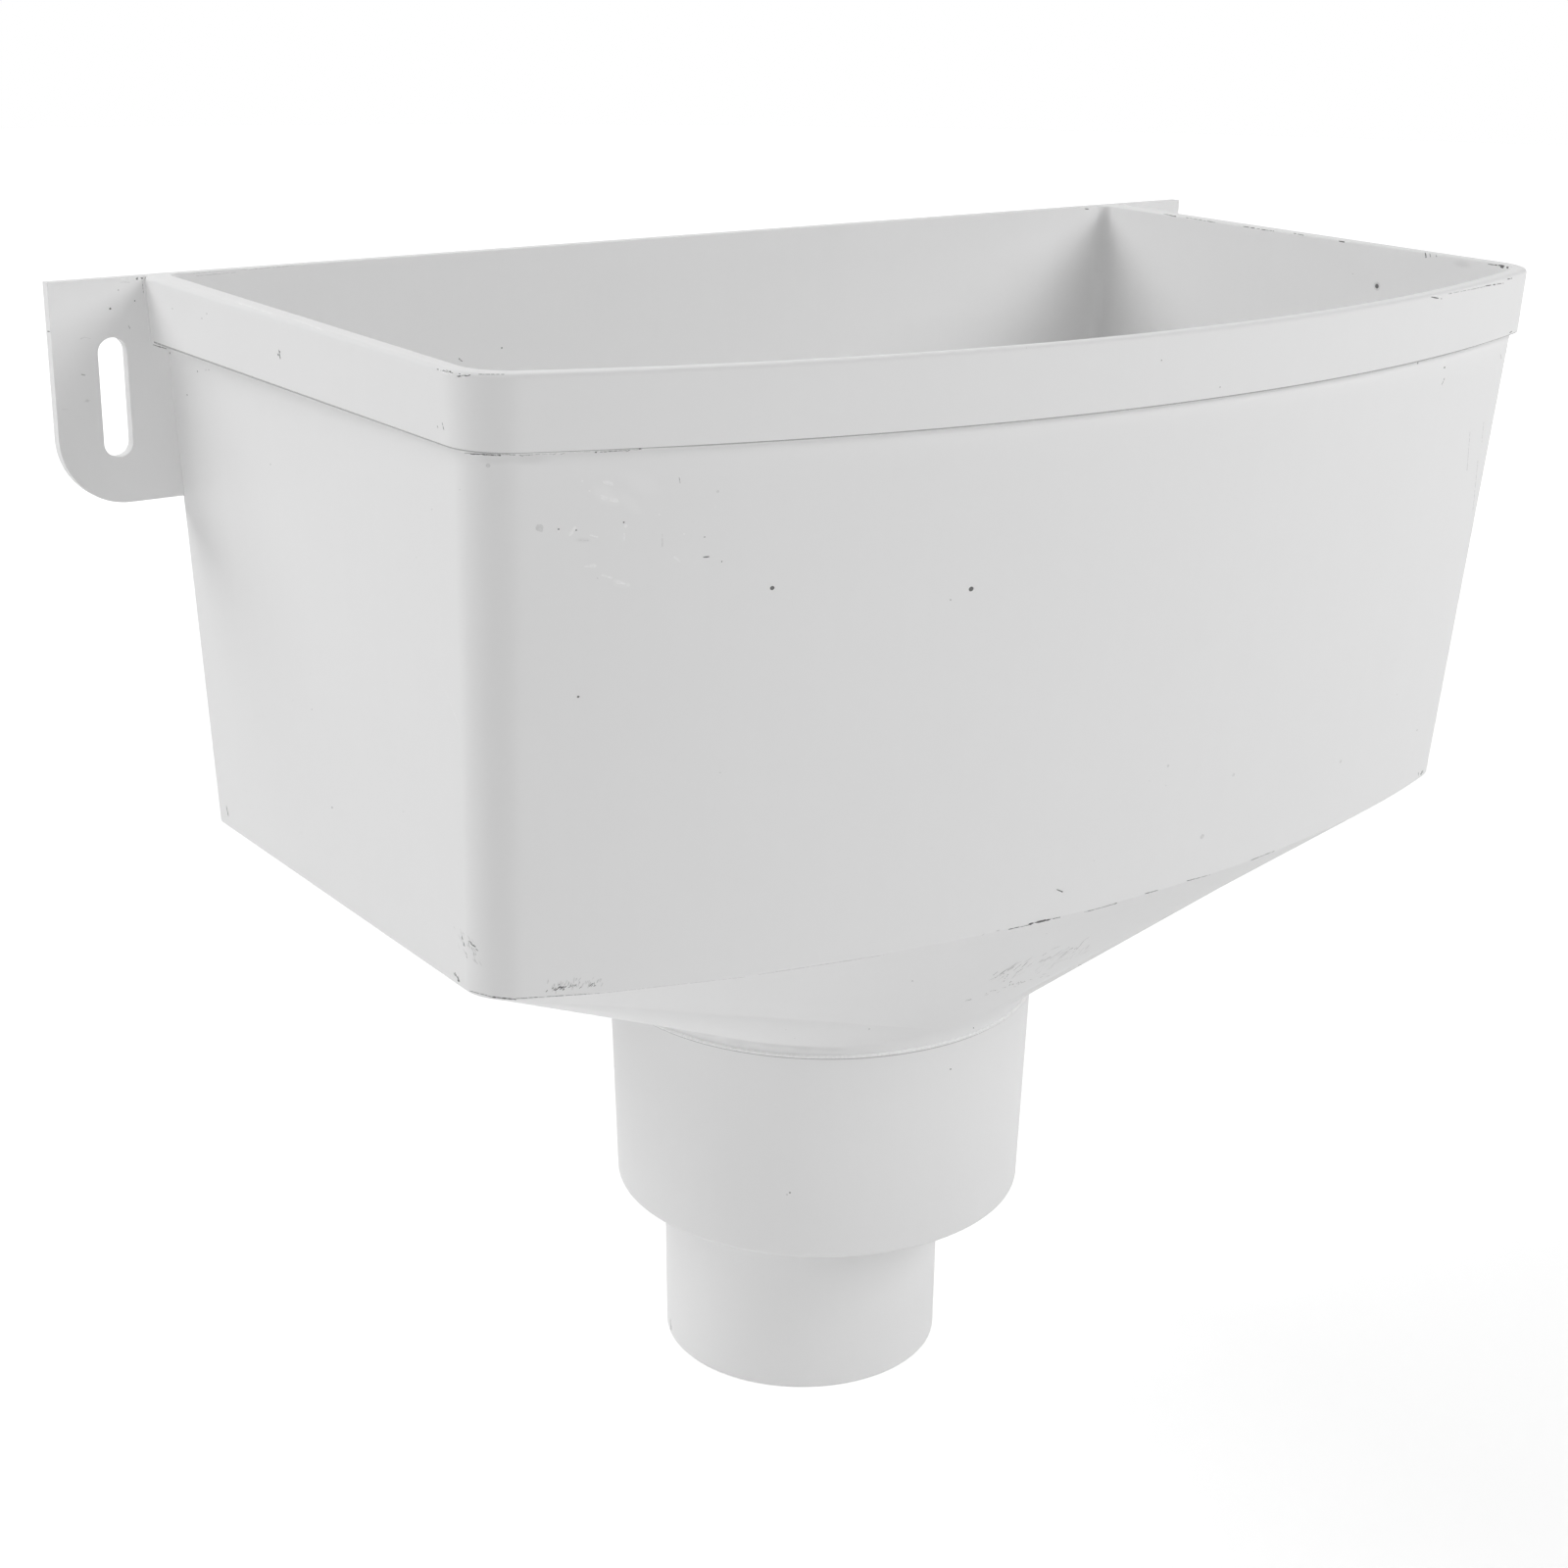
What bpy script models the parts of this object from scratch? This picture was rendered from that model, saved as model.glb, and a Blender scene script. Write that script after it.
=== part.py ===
"""Rainwater hopper head with a stepped outlet, moulded in one piece of white plastic.

Metres, +Z up. The wall is the plane y = 0 and the hopper stands out from it towards -Y. The origin lies on the
wall face, midway between the two fixing slots. The shell is lofted as one closed skin: down the outside, round the
end of the small spigot, up the inside and across the top edge. The fixing ears are then joined to it.
"""

import math

import bmesh
import bpy

# Back plate and fixing ears, which stand out past the rim on both sides
PLATE_THICKNESS = 0.0032
EAR_REACH = 0.0236
EAR_HEIGHT = 0.0535
EAR_CORNER_RADIUS = 0.0166
SLOT_WIDTH = 0.0071
SLOT_LENGTH = 0.0285
SLOT_TOP_MARGIN = 0.01385
SLOT_SIDE_MARGIN = 0.01105

# Rim band round the two sides and the front
RIM_WIDTH_BACK = 0.3058
RIM_WIDTH_FRONT = 0.3042
RIM_CORNER_REACH = 0.1610
RIM_BOW = 0.0309
RIM_CORNER_RADIUS = 0.0156
RIM_HEIGHT = 0.0158
RIM_DRAFT = 0.00074
RIM_OVERHANG_BACK = 0.0038
RIM_OVERHANG_SIDE = 0.0015
RIM_OVERHANG_FRONT = 0.0013

# Bottom edge of the basin
BOTTOM_WIDTH_BACK = 0.2832
BOTTOM_WIDTH_FRONT = 0.2912
BOTTOM_CORNER_REACH = 0.1485
BOTTOM_BOW = 0.0293
BOTTOM_CORNER_RADIUS = 0.0120
BASIN_DEPTH_FRONT = 0.1352
BASIN_BACK_DROP = 0.0035
BACK_EDGE_RADIUS = 0.0032
BASIN_WALL = 0.0023
FUNNEL_FLOOR = 0.0012

# Large spigot, under the funnel, which stands clear of the wall
SPIGOT_TO_WALL = 0.0107
FUNNEL_DROP = 0.0510
NECK_HEIGHT = 0.0024
NECK_INSET = 0.0004
SPIGOT_TOP_RADIUS = 0.0572
SPIGOT_END_RADIUS = 0.0550
SPIGOT_LENGTH = 0.0582
SPIGOT_WALL = 0.0030
STEP_FLOOR = 0.0030

# Small spigot, set towards the wall: the step's ledge is narrowest behind it
LEDGE_BEHIND = 0.0096
SMALL_TOP_RADIUS = 0.0383
SMALL_END_RADIUS = 0.0379
SMALL_LENGTH = 0.0523
SMALL_WALL = 0.0029
END_RADIUS = 0.0010

# Facets
QUARTER_SEGMENTS = 20
CORNER_SEGMENTS = 20
BACK_SEGMENTS = 3
BOW_SEGMENTS = 24
SIDE_SEGMENTS = 6
WALL_LEVELS = 4
SLOT_SEGMENTS = 10
END_SEGMENTS = 2

TOP = SLOT_TOP_MARGIN + SLOT_LENGTH / 2
PLATE_WIDTH = RIM_WIDTH_BACK + 2 * EAR_REACH
SLOT_SPACING = PLATE_WIDTH - 2 * SLOT_SIDE_MARGIN - SLOT_WIDTH
LARGE_AXIS_Y = -(SPIGOT_TO_WALL + SPIGOT_TOP_RADIUS)
SMALL_AXIS_Y = LARGE_AXIS_Y + SPIGOT_END_RADIUS - LEDGE_BEHIND - SMALL_TOP_RADIUS


def arc(centre, radius, start, end, segments):
    """Points along an arc, both ends included. Angles in radians, anticlockwise from +X."""
    step = (end - start) / segments
    angles = [start + step * i for i in range(segments + 1)]
    return [(centre[0] + radius * math.cos(a), centre[1] + radius * math.sin(a)) for a in angles]


def right_half_plan(width_back, width_front, corner_reach, bow, corner_radius, back_radius, back_y):
    """The right half of a plan of the basin, as four runs of points.

    The front is one arc from corner to corner that bows out by `bow` past `corner_reach`. The side is straight from
    the wall to the front corner, and both of its ends are rounded.
    """
    half_back, half_front = width_back / 2, width_front / 2
    front_y = -corner_reach
    bow_radius = (half_front**2 + bow**2) / (2 * bow)
    bow_centre_y = front_y - bow + bow_radius

    side = (half_front - half_back, front_y - back_y)
    side_length = math.hypot(*side)
    along = (side[0] / side_length, side[1] / side_length)
    inward = (along[1], -along[0])

    # The corner arc's centre: corner_radius inside the side, and as far inside the front arc
    base = (half_front + inward[0] * corner_radius, front_y + inward[1] * corner_radius)
    from_bow = (base[0], base[1] - bow_centre_y)
    b = from_bow[0] * along[0] + from_bow[1] * along[1]
    c = from_bow[0] ** 2 + from_bow[1] ** 2 - (bow_radius - corner_radius) ** 2
    root = math.sqrt(b * b - c)
    shift = min(-b + root, -b - root, key=abs)
    corner = (base[0] + along[0] * shift, base[1] + along[1] * shift)
    side_angle = math.atan2(-inward[1], -inward[0])
    front_angle = math.atan2(corner[1] - bow_centre_y, corner[0])
    corner_run = arc(corner, corner_radius, side_angle, front_angle, CORNER_SEGMENTS)

    bow_run = arc((0, bow_centre_y), bow_radius, front_angle, -math.pi / 2, BOW_SEGMENTS // 2)

    # The back edge is straight along the wall, and its arc ends where the side starts
    back_shift = back_radius * math.tan((math.pi / 2 - side_angle) / 2)
    back = (half_back - back_shift, back_y - back_radius)
    back_run = arc(back, back_radius, math.pi / 2, side_angle, BACK_SEGMENTS)

    side_run = between(back_run[-1], corner_run[0], SIDE_SEGMENTS)
    return back_run, side_run, corner_run, bow_run


def between(start, end, segments):
    """The points that divide a straight line evenly, without its two ends."""
    shares = [i / segments for i in range(1, segments)]
    return [(start[0] + (end[0] - start[0]) * s, start[1] + (end[1] - start[1]) * s) for s in shares]


def mirrored(run):
    return [(-x, y) for x, y in reversed(run)]


class Plan:
    """One level of the basin: the closed loop of its points, and the runs that the funnel is stitched from."""

    def __init__(self, mesh, height, **sizes):
        def place(run):
            return [mesh.verts.new((x, y, height(y))) for x, y in run]

        back, side, corner, bow = right_half_plan(**sizes)
        self.back_right, self.corner_right = place(back), place(corner)
        self.corner_left, self.back_left = place(mirrored(corner)), place(mirrored(back))
        side_right, side_left = place(side), place(mirrored(side))
        front = place(bow[1:] + mirrored(bow)[1:-1])
        self.side_right = [self.back_right[-1], *side_right, self.corner_right[0]]
        self.front = [self.corner_right[-1], *front, self.corner_left[0]]
        self.side_left = [self.corner_left[-1], *side_left, self.back_left[0]]
        self.loop = [
            *self.back_right,
            *side_right,
            *self.corner_right,
            *front,
            *self.corner_left,
            *side_left,
            *self.back_left,
        ]


class Ring:
    """A level circle, split at its back, right, front and left points."""

    def __init__(self, mesh, radius, centre_y, z):
        points = arc((0, centre_y), radius, math.pi / 2, -1.5 * math.pi, 4 * QUARTER_SEGMENTS)[:-1]
        self.loop = [mesh.verts.new((x, y, z)) for x, y in points]

    def quarter(self, number):
        first = number * QUARTER_SEGMENTS
        return [self.loop[(first + i) % len(self.loop)] for i in range(QUARTER_SEGMENTS + 1)]


def bridge(mesh, first, second, turned):
    """Quads between two closed loops of as many points each."""
    count = len(first)
    for i in range(count):
        j = (i + 1) % count
        corners = (first[i], first[j], second[j], second[i])
        mesh.faces.new(reversed(corners) if turned else corners)


def stitch(mesh, first, second, turned):
    """Triangles between two open runs, which may have different numbers of points, or only one."""
    i = j = 0
    steps_first, steps_second = len(first) - 1, len(second) - 1
    while i < steps_first or j < steps_second:
        next_first = (i + 1) / steps_first if i < steps_first else math.inf
        next_second = (j + 1) / steps_second if j < steps_second else math.inf
        if next_first <= next_second:
            corners = (first[i], first[i + 1], second[j])
            i += 1
        else:
            corners = (first[i], second[j + 1], second[j])
            j += 1
        mesh.faces.new(reversed(corners) if turned else corners)


def funnel(mesh, plan, ring, turned):
    """A square-to-round transition.

    Each side fans in to one point of the circle, and each corner of the basin spreads out to a quarter of it.
    """
    back_right, front_right, front_left, back_left = (ring.quarter(i) for i in range(4))
    stitch(mesh, plan.back_right, back_right, turned)
    stitch(mesh, plan.side_right, [back_right[-1]], turned)
    stitch(mesh, plan.corner_right, front_right, turned)
    stitch(mesh, plan.front, [front_right[-1]], turned)
    stitch(mesh, plan.corner_left, front_left, turned)
    stitch(mesh, plan.side_left, [front_left[-1]], turned)
    stitch(mesh, plan.back_left, back_left, turned)
    stitch(mesh, [plan.back_left[-1], plan.back_right[0]], [back_left[-1]], turned)


def outside_plans(mesh):
    """Rim top, rim bottom, and the basin from under the rim to its bottom edge."""
    rim = dict(
        width_back=RIM_WIDTH_BACK,
        width_front=RIM_WIDTH_FRONT,
        corner_reach=RIM_CORNER_REACH,
        bow=RIM_BOW,
        corner_radius=RIM_CORNER_RADIUS,
        back_radius=BACK_EDGE_RADIUS,
        back_y=0,
    )
    rim_bottom = dict(
        rim,
        width_back=RIM_WIDTH_BACK - 2 * RIM_DRAFT,
        width_front=RIM_WIDTH_FRONT - 2 * RIM_DRAFT,
        corner_reach=RIM_CORNER_REACH - RIM_DRAFT,
        corner_radius=RIM_CORNER_RADIUS - RIM_DRAFT,
    )
    rim_plans = [
        Plan(mesh, lambda y: TOP, **rim),
        Plan(mesh, lambda y: TOP - RIM_HEIGHT, **rim_bottom),
    ]
    return rim_plans + wall_plans(mesh, TOP - RIM_HEIGHT, 0, 0, 0)


def wall_plans(mesh, top, down, wall, floor):
    """Levels of one face of the basin's wall, from `top`, which lies `down` the wall, to its bottom edge."""
    plans = []
    for level in range(WALL_LEVELS + 1):
        share = level / WALL_LEVELS

        def height(y, share=share):
            return top + (bottom_height(y) + floor - top) * share

        plans.append(Plan(mesh, height, **basin_plan(down + (1 - down) * share, wall)))
    return plans


def basin_plan(down, wall):
    """Sizes of the basin's plan, less a wall, from just under the rim (down = 0) to its bottom edge (down = 1)."""
    top = dict(
        width_back=RIM_WIDTH_BACK - 2 * (RIM_DRAFT + RIM_OVERHANG_BACK),
        width_front=RIM_WIDTH_FRONT - 2 * (RIM_DRAFT + RIM_OVERHANG_SIDE),
        corner_reach=RIM_CORNER_REACH - RIM_DRAFT - RIM_OVERHANG_FRONT,
        bow=RIM_BOW,
        corner_radius=RIM_CORNER_RADIUS - RIM_DRAFT - RIM_OVERHANG_FRONT,
    )
    bottom = dict(
        width_back=BOTTOM_WIDTH_BACK,
        width_front=BOTTOM_WIDTH_FRONT,
        corner_reach=BOTTOM_CORNER_REACH,
        bow=BOTTOM_BOW,
        corner_radius=BOTTOM_CORNER_RADIUS,
    )
    plan = {name: top[name] + (bottom[name] - top[name]) * down for name in top}
    plan["width_back"] -= 2 * wall
    plan["width_front"] -= 2 * wall
    plan["corner_reach"] -= wall
    plan["corner_radius"] -= wall
    plan["back_radius"] = BACK_EDGE_RADIUS
    plan["back_y"] = -PLATE_THICKNESS if wall else 0
    return plan


def bottom_height(y):
    """The basin's bottom edge is level along the front and falls a little towards the wall."""
    to_wall = min(1, max(0, 1 + y / BOTTOM_CORNER_REACH))
    return TOP - BASIN_DEPTH_FRONT - BASIN_BACK_DROP * to_wall


def rounded_end(mesh, radius, centre_y, z):
    """Rings that round off the outer edge of a spigot's end, from its side to its end face."""
    turns = [math.pi / 2 * i / END_SEGMENTS for i in range(END_SEGMENTS + 1)]
    return [
        Ring(
            mesh,
            radius - END_RADIUS * (1 - math.cos(turn)),
            centre_y,
            z + END_RADIUS * (1 - math.sin(turn)),
        )
        for turn in turns
    ]


def outside_rings(mesh):
    """Neck, lip and large spigot, then the small spigot."""
    neck_top = TOP - BASIN_DEPTH_FRONT - FUNNEL_DROP
    lip_top = neck_top - NECK_HEIGHT
    step = lip_top - SPIGOT_LENGTH
    end = step - SMALL_LENGTH
    return [
        Ring(mesh, SPIGOT_TOP_RADIUS - NECK_INSET, LARGE_AXIS_Y, neck_top),
        Ring(mesh, SPIGOT_TOP_RADIUS - NECK_INSET, LARGE_AXIS_Y, lip_top),
        Ring(mesh, SPIGOT_TOP_RADIUS, LARGE_AXIS_Y, lip_top),
        *rounded_end(mesh, SPIGOT_END_RADIUS, LARGE_AXIS_Y, step),
        Ring(mesh, SMALL_TOP_RADIUS, SMALL_AXIS_Y, step),
        *rounded_end(mesh, SMALL_END_RADIUS, SMALL_AXIS_Y, end),
    ]


def inside_rings(mesh):
    """The bores, from the funnel's mouth down to the small spigot's end."""
    neck_top = TOP - BASIN_DEPTH_FRONT - FUNNEL_DROP
    step = neck_top - NECK_HEIGHT - SPIGOT_LENGTH
    end = step - SMALL_LENGTH
    floor = step + STEP_FLOOR
    mouth = neck_top + FUNNEL_FLOOR
    return [
        Ring(mesh, SPIGOT_TOP_RADIUS - NECK_INSET - SPIGOT_WALL, LARGE_AXIS_Y, mouth),
        Ring(mesh, SPIGOT_END_RADIUS - SPIGOT_WALL, LARGE_AXIS_Y, floor),
        Ring(mesh, SMALL_TOP_RADIUS - SMALL_WALL, SMALL_AXIS_Y, floor),
        Ring(mesh, SMALL_END_RADIUS - SMALL_WALL, SMALL_AXIS_Y, end),
    ]


def make_shell(mesh):
    """The basin, the funnel and both spigots as one closed skin."""
    plans = outside_plans(mesh)
    rings = outside_rings(mesh)
    for upper, lower in zip(plans, plans[1:]):
        bridge(mesh, upper.loop, lower.loop, False)
    funnel(mesh, plans[-1], rings[0], False)
    for upper, lower in zip(rings, rings[1:]):
        bridge(mesh, upper.loop, lower.loop, False)

    # The inner wall runs on straight past the rim, so it starts above the basin's own top
    above = -RIM_HEIGHT / (BASIN_DEPTH_FRONT - RIM_HEIGHT)
    inner_plans = wall_plans(mesh, TOP, above, BASIN_WALL, FUNNEL_FLOOR)
    bores = inside_rings(mesh)
    bridge(mesh, plans[0].loop, inner_plans[0].loop, True)
    for upper, lower in zip(inner_plans, inner_plans[1:]):
        bridge(mesh, upper.loop, lower.loop, True)
    funnel(mesh, inner_plans[-1], bores[0], True)
    for upper, lower in zip(bores, bores[1:]):
        bridge(mesh, upper.loop, lower.loop, True)
    bridge(mesh, rings[-1].loop, bores[-1].loop, False)


def plastic():
    material = bpy.data.materials.new("white_plastic")
    material.use_nodes = True
    shader = material.node_tree.nodes["Principled BSDF"]
    shader.inputs["Base Color"].default_value = (0.78, 0.78, 0.78, 1)
    shader.inputs["Roughness"].default_value = 0.45
    shader.inputs["Metallic"].default_value = 0
    return material


def add_object(name, mesh, material=None):
    """A new object from a bmesh, with its faces turned outwards and its round stretches smooth."""
    bmesh.ops.recalc_face_normals(mesh, faces=mesh.faces)
    data = bpy.data.meshes.new(name)
    mesh.to_mesh(data)
    mesh.free()
    data.shade_smooth()
    data.set_sharp_from_angle(angle=math.radians(25))
    if material:
        data.materials.append(material)
    thing = bpy.data.objects.new(name, data)
    bpy.context.scene.collection.objects.link(thing)
    return thing


def prism(mesh, outline, y_front, y_back):
    """A flat plate: an (x, z) outline pushed from y_front to y_back."""
    front = [mesh.verts.new((x, y_front, z)) for x, z in outline]
    face = mesh.faces.new(front)
    pushed = bmesh.ops.extrude_face_region(mesh, geom=[face])
    moved = [item for item in pushed["geom"] if isinstance(item, bmesh.types.BMVert)]
    bmesh.ops.translate(mesh, verts=moved, vec=(0, y_back - y_front, 0))


def ear_outline(side):
    """One ear and the piece of plate that runs into the basin's wall. The outer top corner is square."""
    outer = PLATE_WIDTH / 2
    inner = (RIM_WIDTH_BACK - 2 * (RIM_DRAFT + RIM_OVERHANG_BACK)) / 2 - 2 * BASIN_WALL
    bottom = TOP - EAR_HEIGHT
    centre = (outer - EAR_CORNER_RADIUS, bottom + EAR_CORNER_RADIUS)
    corner = arc(centre, EAR_CORNER_RADIUS, 0, -math.pi / 2, CORNER_SEGMENTS)
    return [(side * x, z) for x, z in [(inner, TOP), (outer, TOP), *corner, (inner, bottom)]]


def slot_outline(side):
    """A slot with round ends, about the height of the origin."""
    centre_x, radius, straight = side * SLOT_SPACING / 2, SLOT_WIDTH / 2, (SLOT_LENGTH - SLOT_WIDTH) / 2
    top = arc((centre_x, straight), radius, 0, math.pi, SLOT_SEGMENTS)
    bottom = arc((centre_x, -straight), radius, math.pi, 2 * math.pi, SLOT_SEGMENTS)
    return top + bottom


def add_cutter(name, outlines, y_front, y_back):
    """A hidden helper for a Boolean."""
    mesh = bmesh.new()
    for outline in outlines:
        prism(mesh, outline, y_front, y_back)
    helper = add_object(name, mesh)
    helper.hide_render = True
    helper.display_type = "WIRE"
    return helper


def add_boolean(thing, name, operation, helper):
    modifier = thing.modifiers.new(name, "BOOLEAN")
    modifier.operation = operation
    modifier.solver = "EXACT"
    modifier.object = helper


def main():
    for old in list(bpy.data.objects):
        bpy.data.objects.remove(old)

    mesh = bmesh.new()
    make_shell(mesh)
    hopper = add_object("hopper_head", mesh, plastic())

    sides = (-1, 1)
    ear_outlines = [ear_outline(side) for side in sides]
    slot_outlines = [slot_outline(side) for side in sides]
    ears = add_cutter("ear_blanks", ear_outlines, -PLATE_THICKNESS, 0)
    slots = add_cutter("slot_cutters", slot_outlines, -2 * PLATE_THICKNESS, PLATE_THICKNESS)
    add_boolean(hopper, "ears", "UNION", ears)
    add_boolean(hopper, "slots", "DIFFERENCE", slots)


main()
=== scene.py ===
"""Rainwater hopper head with a stepped outlet, moulded in one piece of white plastic.

Metres, +Z up, in the CAD part's frame: the wall is the plane y = 0, the hopper stands out from it towards -Y,
and the origin lies on the wall face, midway between the two fixing slots.
"""

import math
import random

import bmesh
import bpy
from mathutils import Matrix, Vector
from mathutils.bvhtree import BVHTree


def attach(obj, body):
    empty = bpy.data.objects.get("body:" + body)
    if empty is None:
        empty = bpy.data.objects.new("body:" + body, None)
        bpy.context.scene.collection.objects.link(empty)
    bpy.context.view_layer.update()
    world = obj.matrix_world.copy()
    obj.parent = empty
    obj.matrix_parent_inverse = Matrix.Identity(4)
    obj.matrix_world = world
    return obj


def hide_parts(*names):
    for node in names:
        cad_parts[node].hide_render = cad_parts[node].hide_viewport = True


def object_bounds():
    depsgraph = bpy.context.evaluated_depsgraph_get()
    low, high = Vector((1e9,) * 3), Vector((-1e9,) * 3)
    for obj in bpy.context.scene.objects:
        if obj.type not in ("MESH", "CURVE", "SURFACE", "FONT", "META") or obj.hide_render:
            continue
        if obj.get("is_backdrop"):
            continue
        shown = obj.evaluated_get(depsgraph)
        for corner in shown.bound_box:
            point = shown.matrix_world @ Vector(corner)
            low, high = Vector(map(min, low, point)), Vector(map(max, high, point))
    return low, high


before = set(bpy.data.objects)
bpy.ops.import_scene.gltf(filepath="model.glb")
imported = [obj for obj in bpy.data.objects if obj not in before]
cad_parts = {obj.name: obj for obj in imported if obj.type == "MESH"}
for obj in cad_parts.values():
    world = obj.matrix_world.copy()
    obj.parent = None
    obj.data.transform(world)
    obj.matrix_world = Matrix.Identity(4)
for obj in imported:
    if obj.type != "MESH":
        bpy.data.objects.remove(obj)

bl_info = {
    "name": "Rainwater Hopper Head",
    "version": (1, 0, 0),
    "blender": (4, 5, 0),
    "location": "3D View > Sidebar > Hopper",
    "description": "Models a white plastic hopper head with its fixing ears and handling marks",
    "category": "Object",
}

NODE = "hopper_head"
SHELL = "moulded_shell"

# Photograph's camera: 1600 pixels square, angles in degrees, place in metres
PHOTO_SIZE = 1600
CAMERA_AZIMUTH = 35.0
CAMERA_ELEVATION = 18.649
CAMERA_ROLL = 0.664
CAMERA_PLACE = (-0.38932, -0.60595, 0.11601)
SENSOR_WIDTH = 36.0

# Facets of a half plan, from the middle of the front round to the middle of the back
BOW_STEPS = 32
QUARTER_STEPS = 28
SIDE_STEPS = 12
BACK_STEPS = 4

# Levels of the long faces, and facets of the rounds
WALL_LEVELS = 6
FUNNEL_LEVELS = 7
ROUNDING_STEPS = 3
EAR_CORNER_STEPS = 24
EAR_EDGE_STEPS = 2
SLOT_END_STEPS = 14
FLOOR_STEPS = 96

# Distances in metres: places nearer than the first are joined, and a step smaller than the second is none
WELD = 1e-6
LEVEL = 1e-7

# Shares of the edge rounding that each edge of the basin and the ears takes
RIM_TOP_ROUND = 1.8
RIM_INNER_ROUND = 0.8
RIM_LOWER_ROUND = 0.7
BOTTOM_ROUND = 0.6
EAR_ROUND = 0.7

# Shares of the end rounding. No two are alike, so that each edge is rounded in a step of its own
STEP_ROUND = 1.0
LEDGE_ROUND = 0.99
SMALL_END_ROUND = 1.01
SMALL_BORE_ROUND = 0.3

# The slots' cutter: its reach to each side of the wall, and the share of its half width that is rounded
CUTTER_REACH = 0.01
CUTTER_ROUND = 0.999

# Angles in degrees from which an ear's edge is rounded, and from which an edge is shaded sharp
EAR_EDGE_ANGLE = 50
SHARP_ANGLE = 40

# Shares of the bead's height, from its top: the end of its slope and the end of its upright face
BEAD_SLOPE = 0.2
BEAD_FACE = 0.9

# Painted shade lines and the painted highlight on the bead, in metres: how far they stand out from the skin,
# and how deep their backs lie in it
LINE_PROUD = 0.00003
RING_PROUD = 0.00002
LINE_SUNK = 0.0001

# The painted shade under the rim covers these angles of the rounded edge, in degrees down from level, and the
# painted shade under the bead lies between these two distances below it, in metres
SHADE_LINE_ANGLES = (-10, 25, 50, 75)
SHADE_RING_TOP = 0.00005
SHADE_RING_END = 0.00026

# Flecks, in metres: how far each kind stands out, the width from which one is made rounder, and the greatest
# length, because the ends of a longer one lie on different faces
SPOT_PROUD = 0.00004
SOFT_SPOT_PROUD = 0.00002
STROKE_PROUD = 0.00003
SPECK_PROUD = 0.00002
ROUND_FLECK = 0.0007
LONGEST_STROKE = 0.01

# How far the clouds in the plastic shift its roughness up and down
ROUGHNESS_SPREAD = 0.05

# Direction in which spots are drawn out, and how much longer than wide spots and specks are
SPOT_ALONG = (1, 0.3, 0.2)
SPOT_STRETCH = 1.1
SPECK_STRETCH = 1.3

# Strokes of a line, in pixels: the shortest, how much longer one may be, and the longest line that is quite
# straight
SHORTEST_STROKE = 3
STROKE_RANGE = 6
STRAIGHT_LINE = 8

# Softboxes: the point that all face and how far from it they stand, in metres, then each one's direction and
# its width in metres. The stage's setting of that name has the watts
LAMP_TARGET = (0, -0.08, -0.05)
LAMP_DISTANCE = 1.8
LAMPS = {
    "key": ((1, -1.33, 0.97), 0.9),
    "view": ((-0.55, -0.78, 0.32), 1.0),
    "left": ((-1, 0.05, 0.2), 1.2),
    "right": ((1, 0, 0.3), 1.2),
    "back": ((0, 0.8, 1), 1.2),
    "left_back": ((-0.8, 0.7, 1), 1.2),
}

# The floor's middle, and its glow as the camera sees it: this share of white up to the first distance, and
# full white from the second on
FLOOR_MIDDLE_Y = -0.07
FLOOR_GLOW_START = 0.6
FLOOR_GLOW_END = 1.5
FLOOR_GLOW_SHARE = 0.36

# Spots seen in the photograph: pixel x and y, then diameter in millimetres
DARK_SPOTS = (
    (1405, 292, 1.5), (788, 600, 1.0), (991, 601, 1.2), (590, 711, 0.6), (931, 1001, 0.5),
    (284, 362, 0.7), (285.5, 359, 0.5), (512, 355, 0.5), (112.5, 315, 0.6), (137.5, 307, 0.35),
    (120.8, 296, 0.3), (173.3, 360.3, 0.6), (201.5, 379, 0.45), (210, 377.5, 0.3), (213, 377.5, 0.3),
    (191, 403, 0.45), (176, 315, 0.3), (211, 320, 0.35), (206, 325, 0.3), (276, 474, 0.3),
    (339, 824, 0.5), (887, 1050, 0.4), (970, 1091, 0.5), (806, 1217, 0.5), (803, 1219, 0.3),
    (1474, 375, 0.65), (1446, 745, 0.4), (970, 612, 0.3), (1245, 395, 0.3), (570, 540, 0.4),
    (588, 541, 0.35), (636.5, 533, 0.4), (719, 548, 0.3), (736.5, 573, 0.3), (653, 458, 0.6),
    (510, 464.5, 0.5), (608, 461.3, 0.5), (1446.7, 370.5, 0.6), (145, 284, 0.45),
)
SOFT_SPOTS = (
    (1405, 292, 2.5), (550.5, 538.5, 1.6), (732.5, 501.5, 0.7), (1226.7, 853.6, 1.4),
    (1258.7, 790.7, 1.0), (1368, 777, 1.0), (1192, 781.5, 0.8), (498, 475, 1.0), (89, 409, 0.8),
)
PALE_SPOTS = (
    (594, 491, 0.6), (601.5, 501, 0.5), (672.5, 525, 0.5), (730, 517.5, 0.5), (698, 545, 0.6),
    (638.5, 536.8, 0.8), (570, 536.5, 0.4), (570, 543, 0.4), (110, 312, 0.4), (115, 318, 0.3),
    (166.5, 295, 0.4), (175, 363, 0.4), (287.5, 363.5, 0.5),
)
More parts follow.
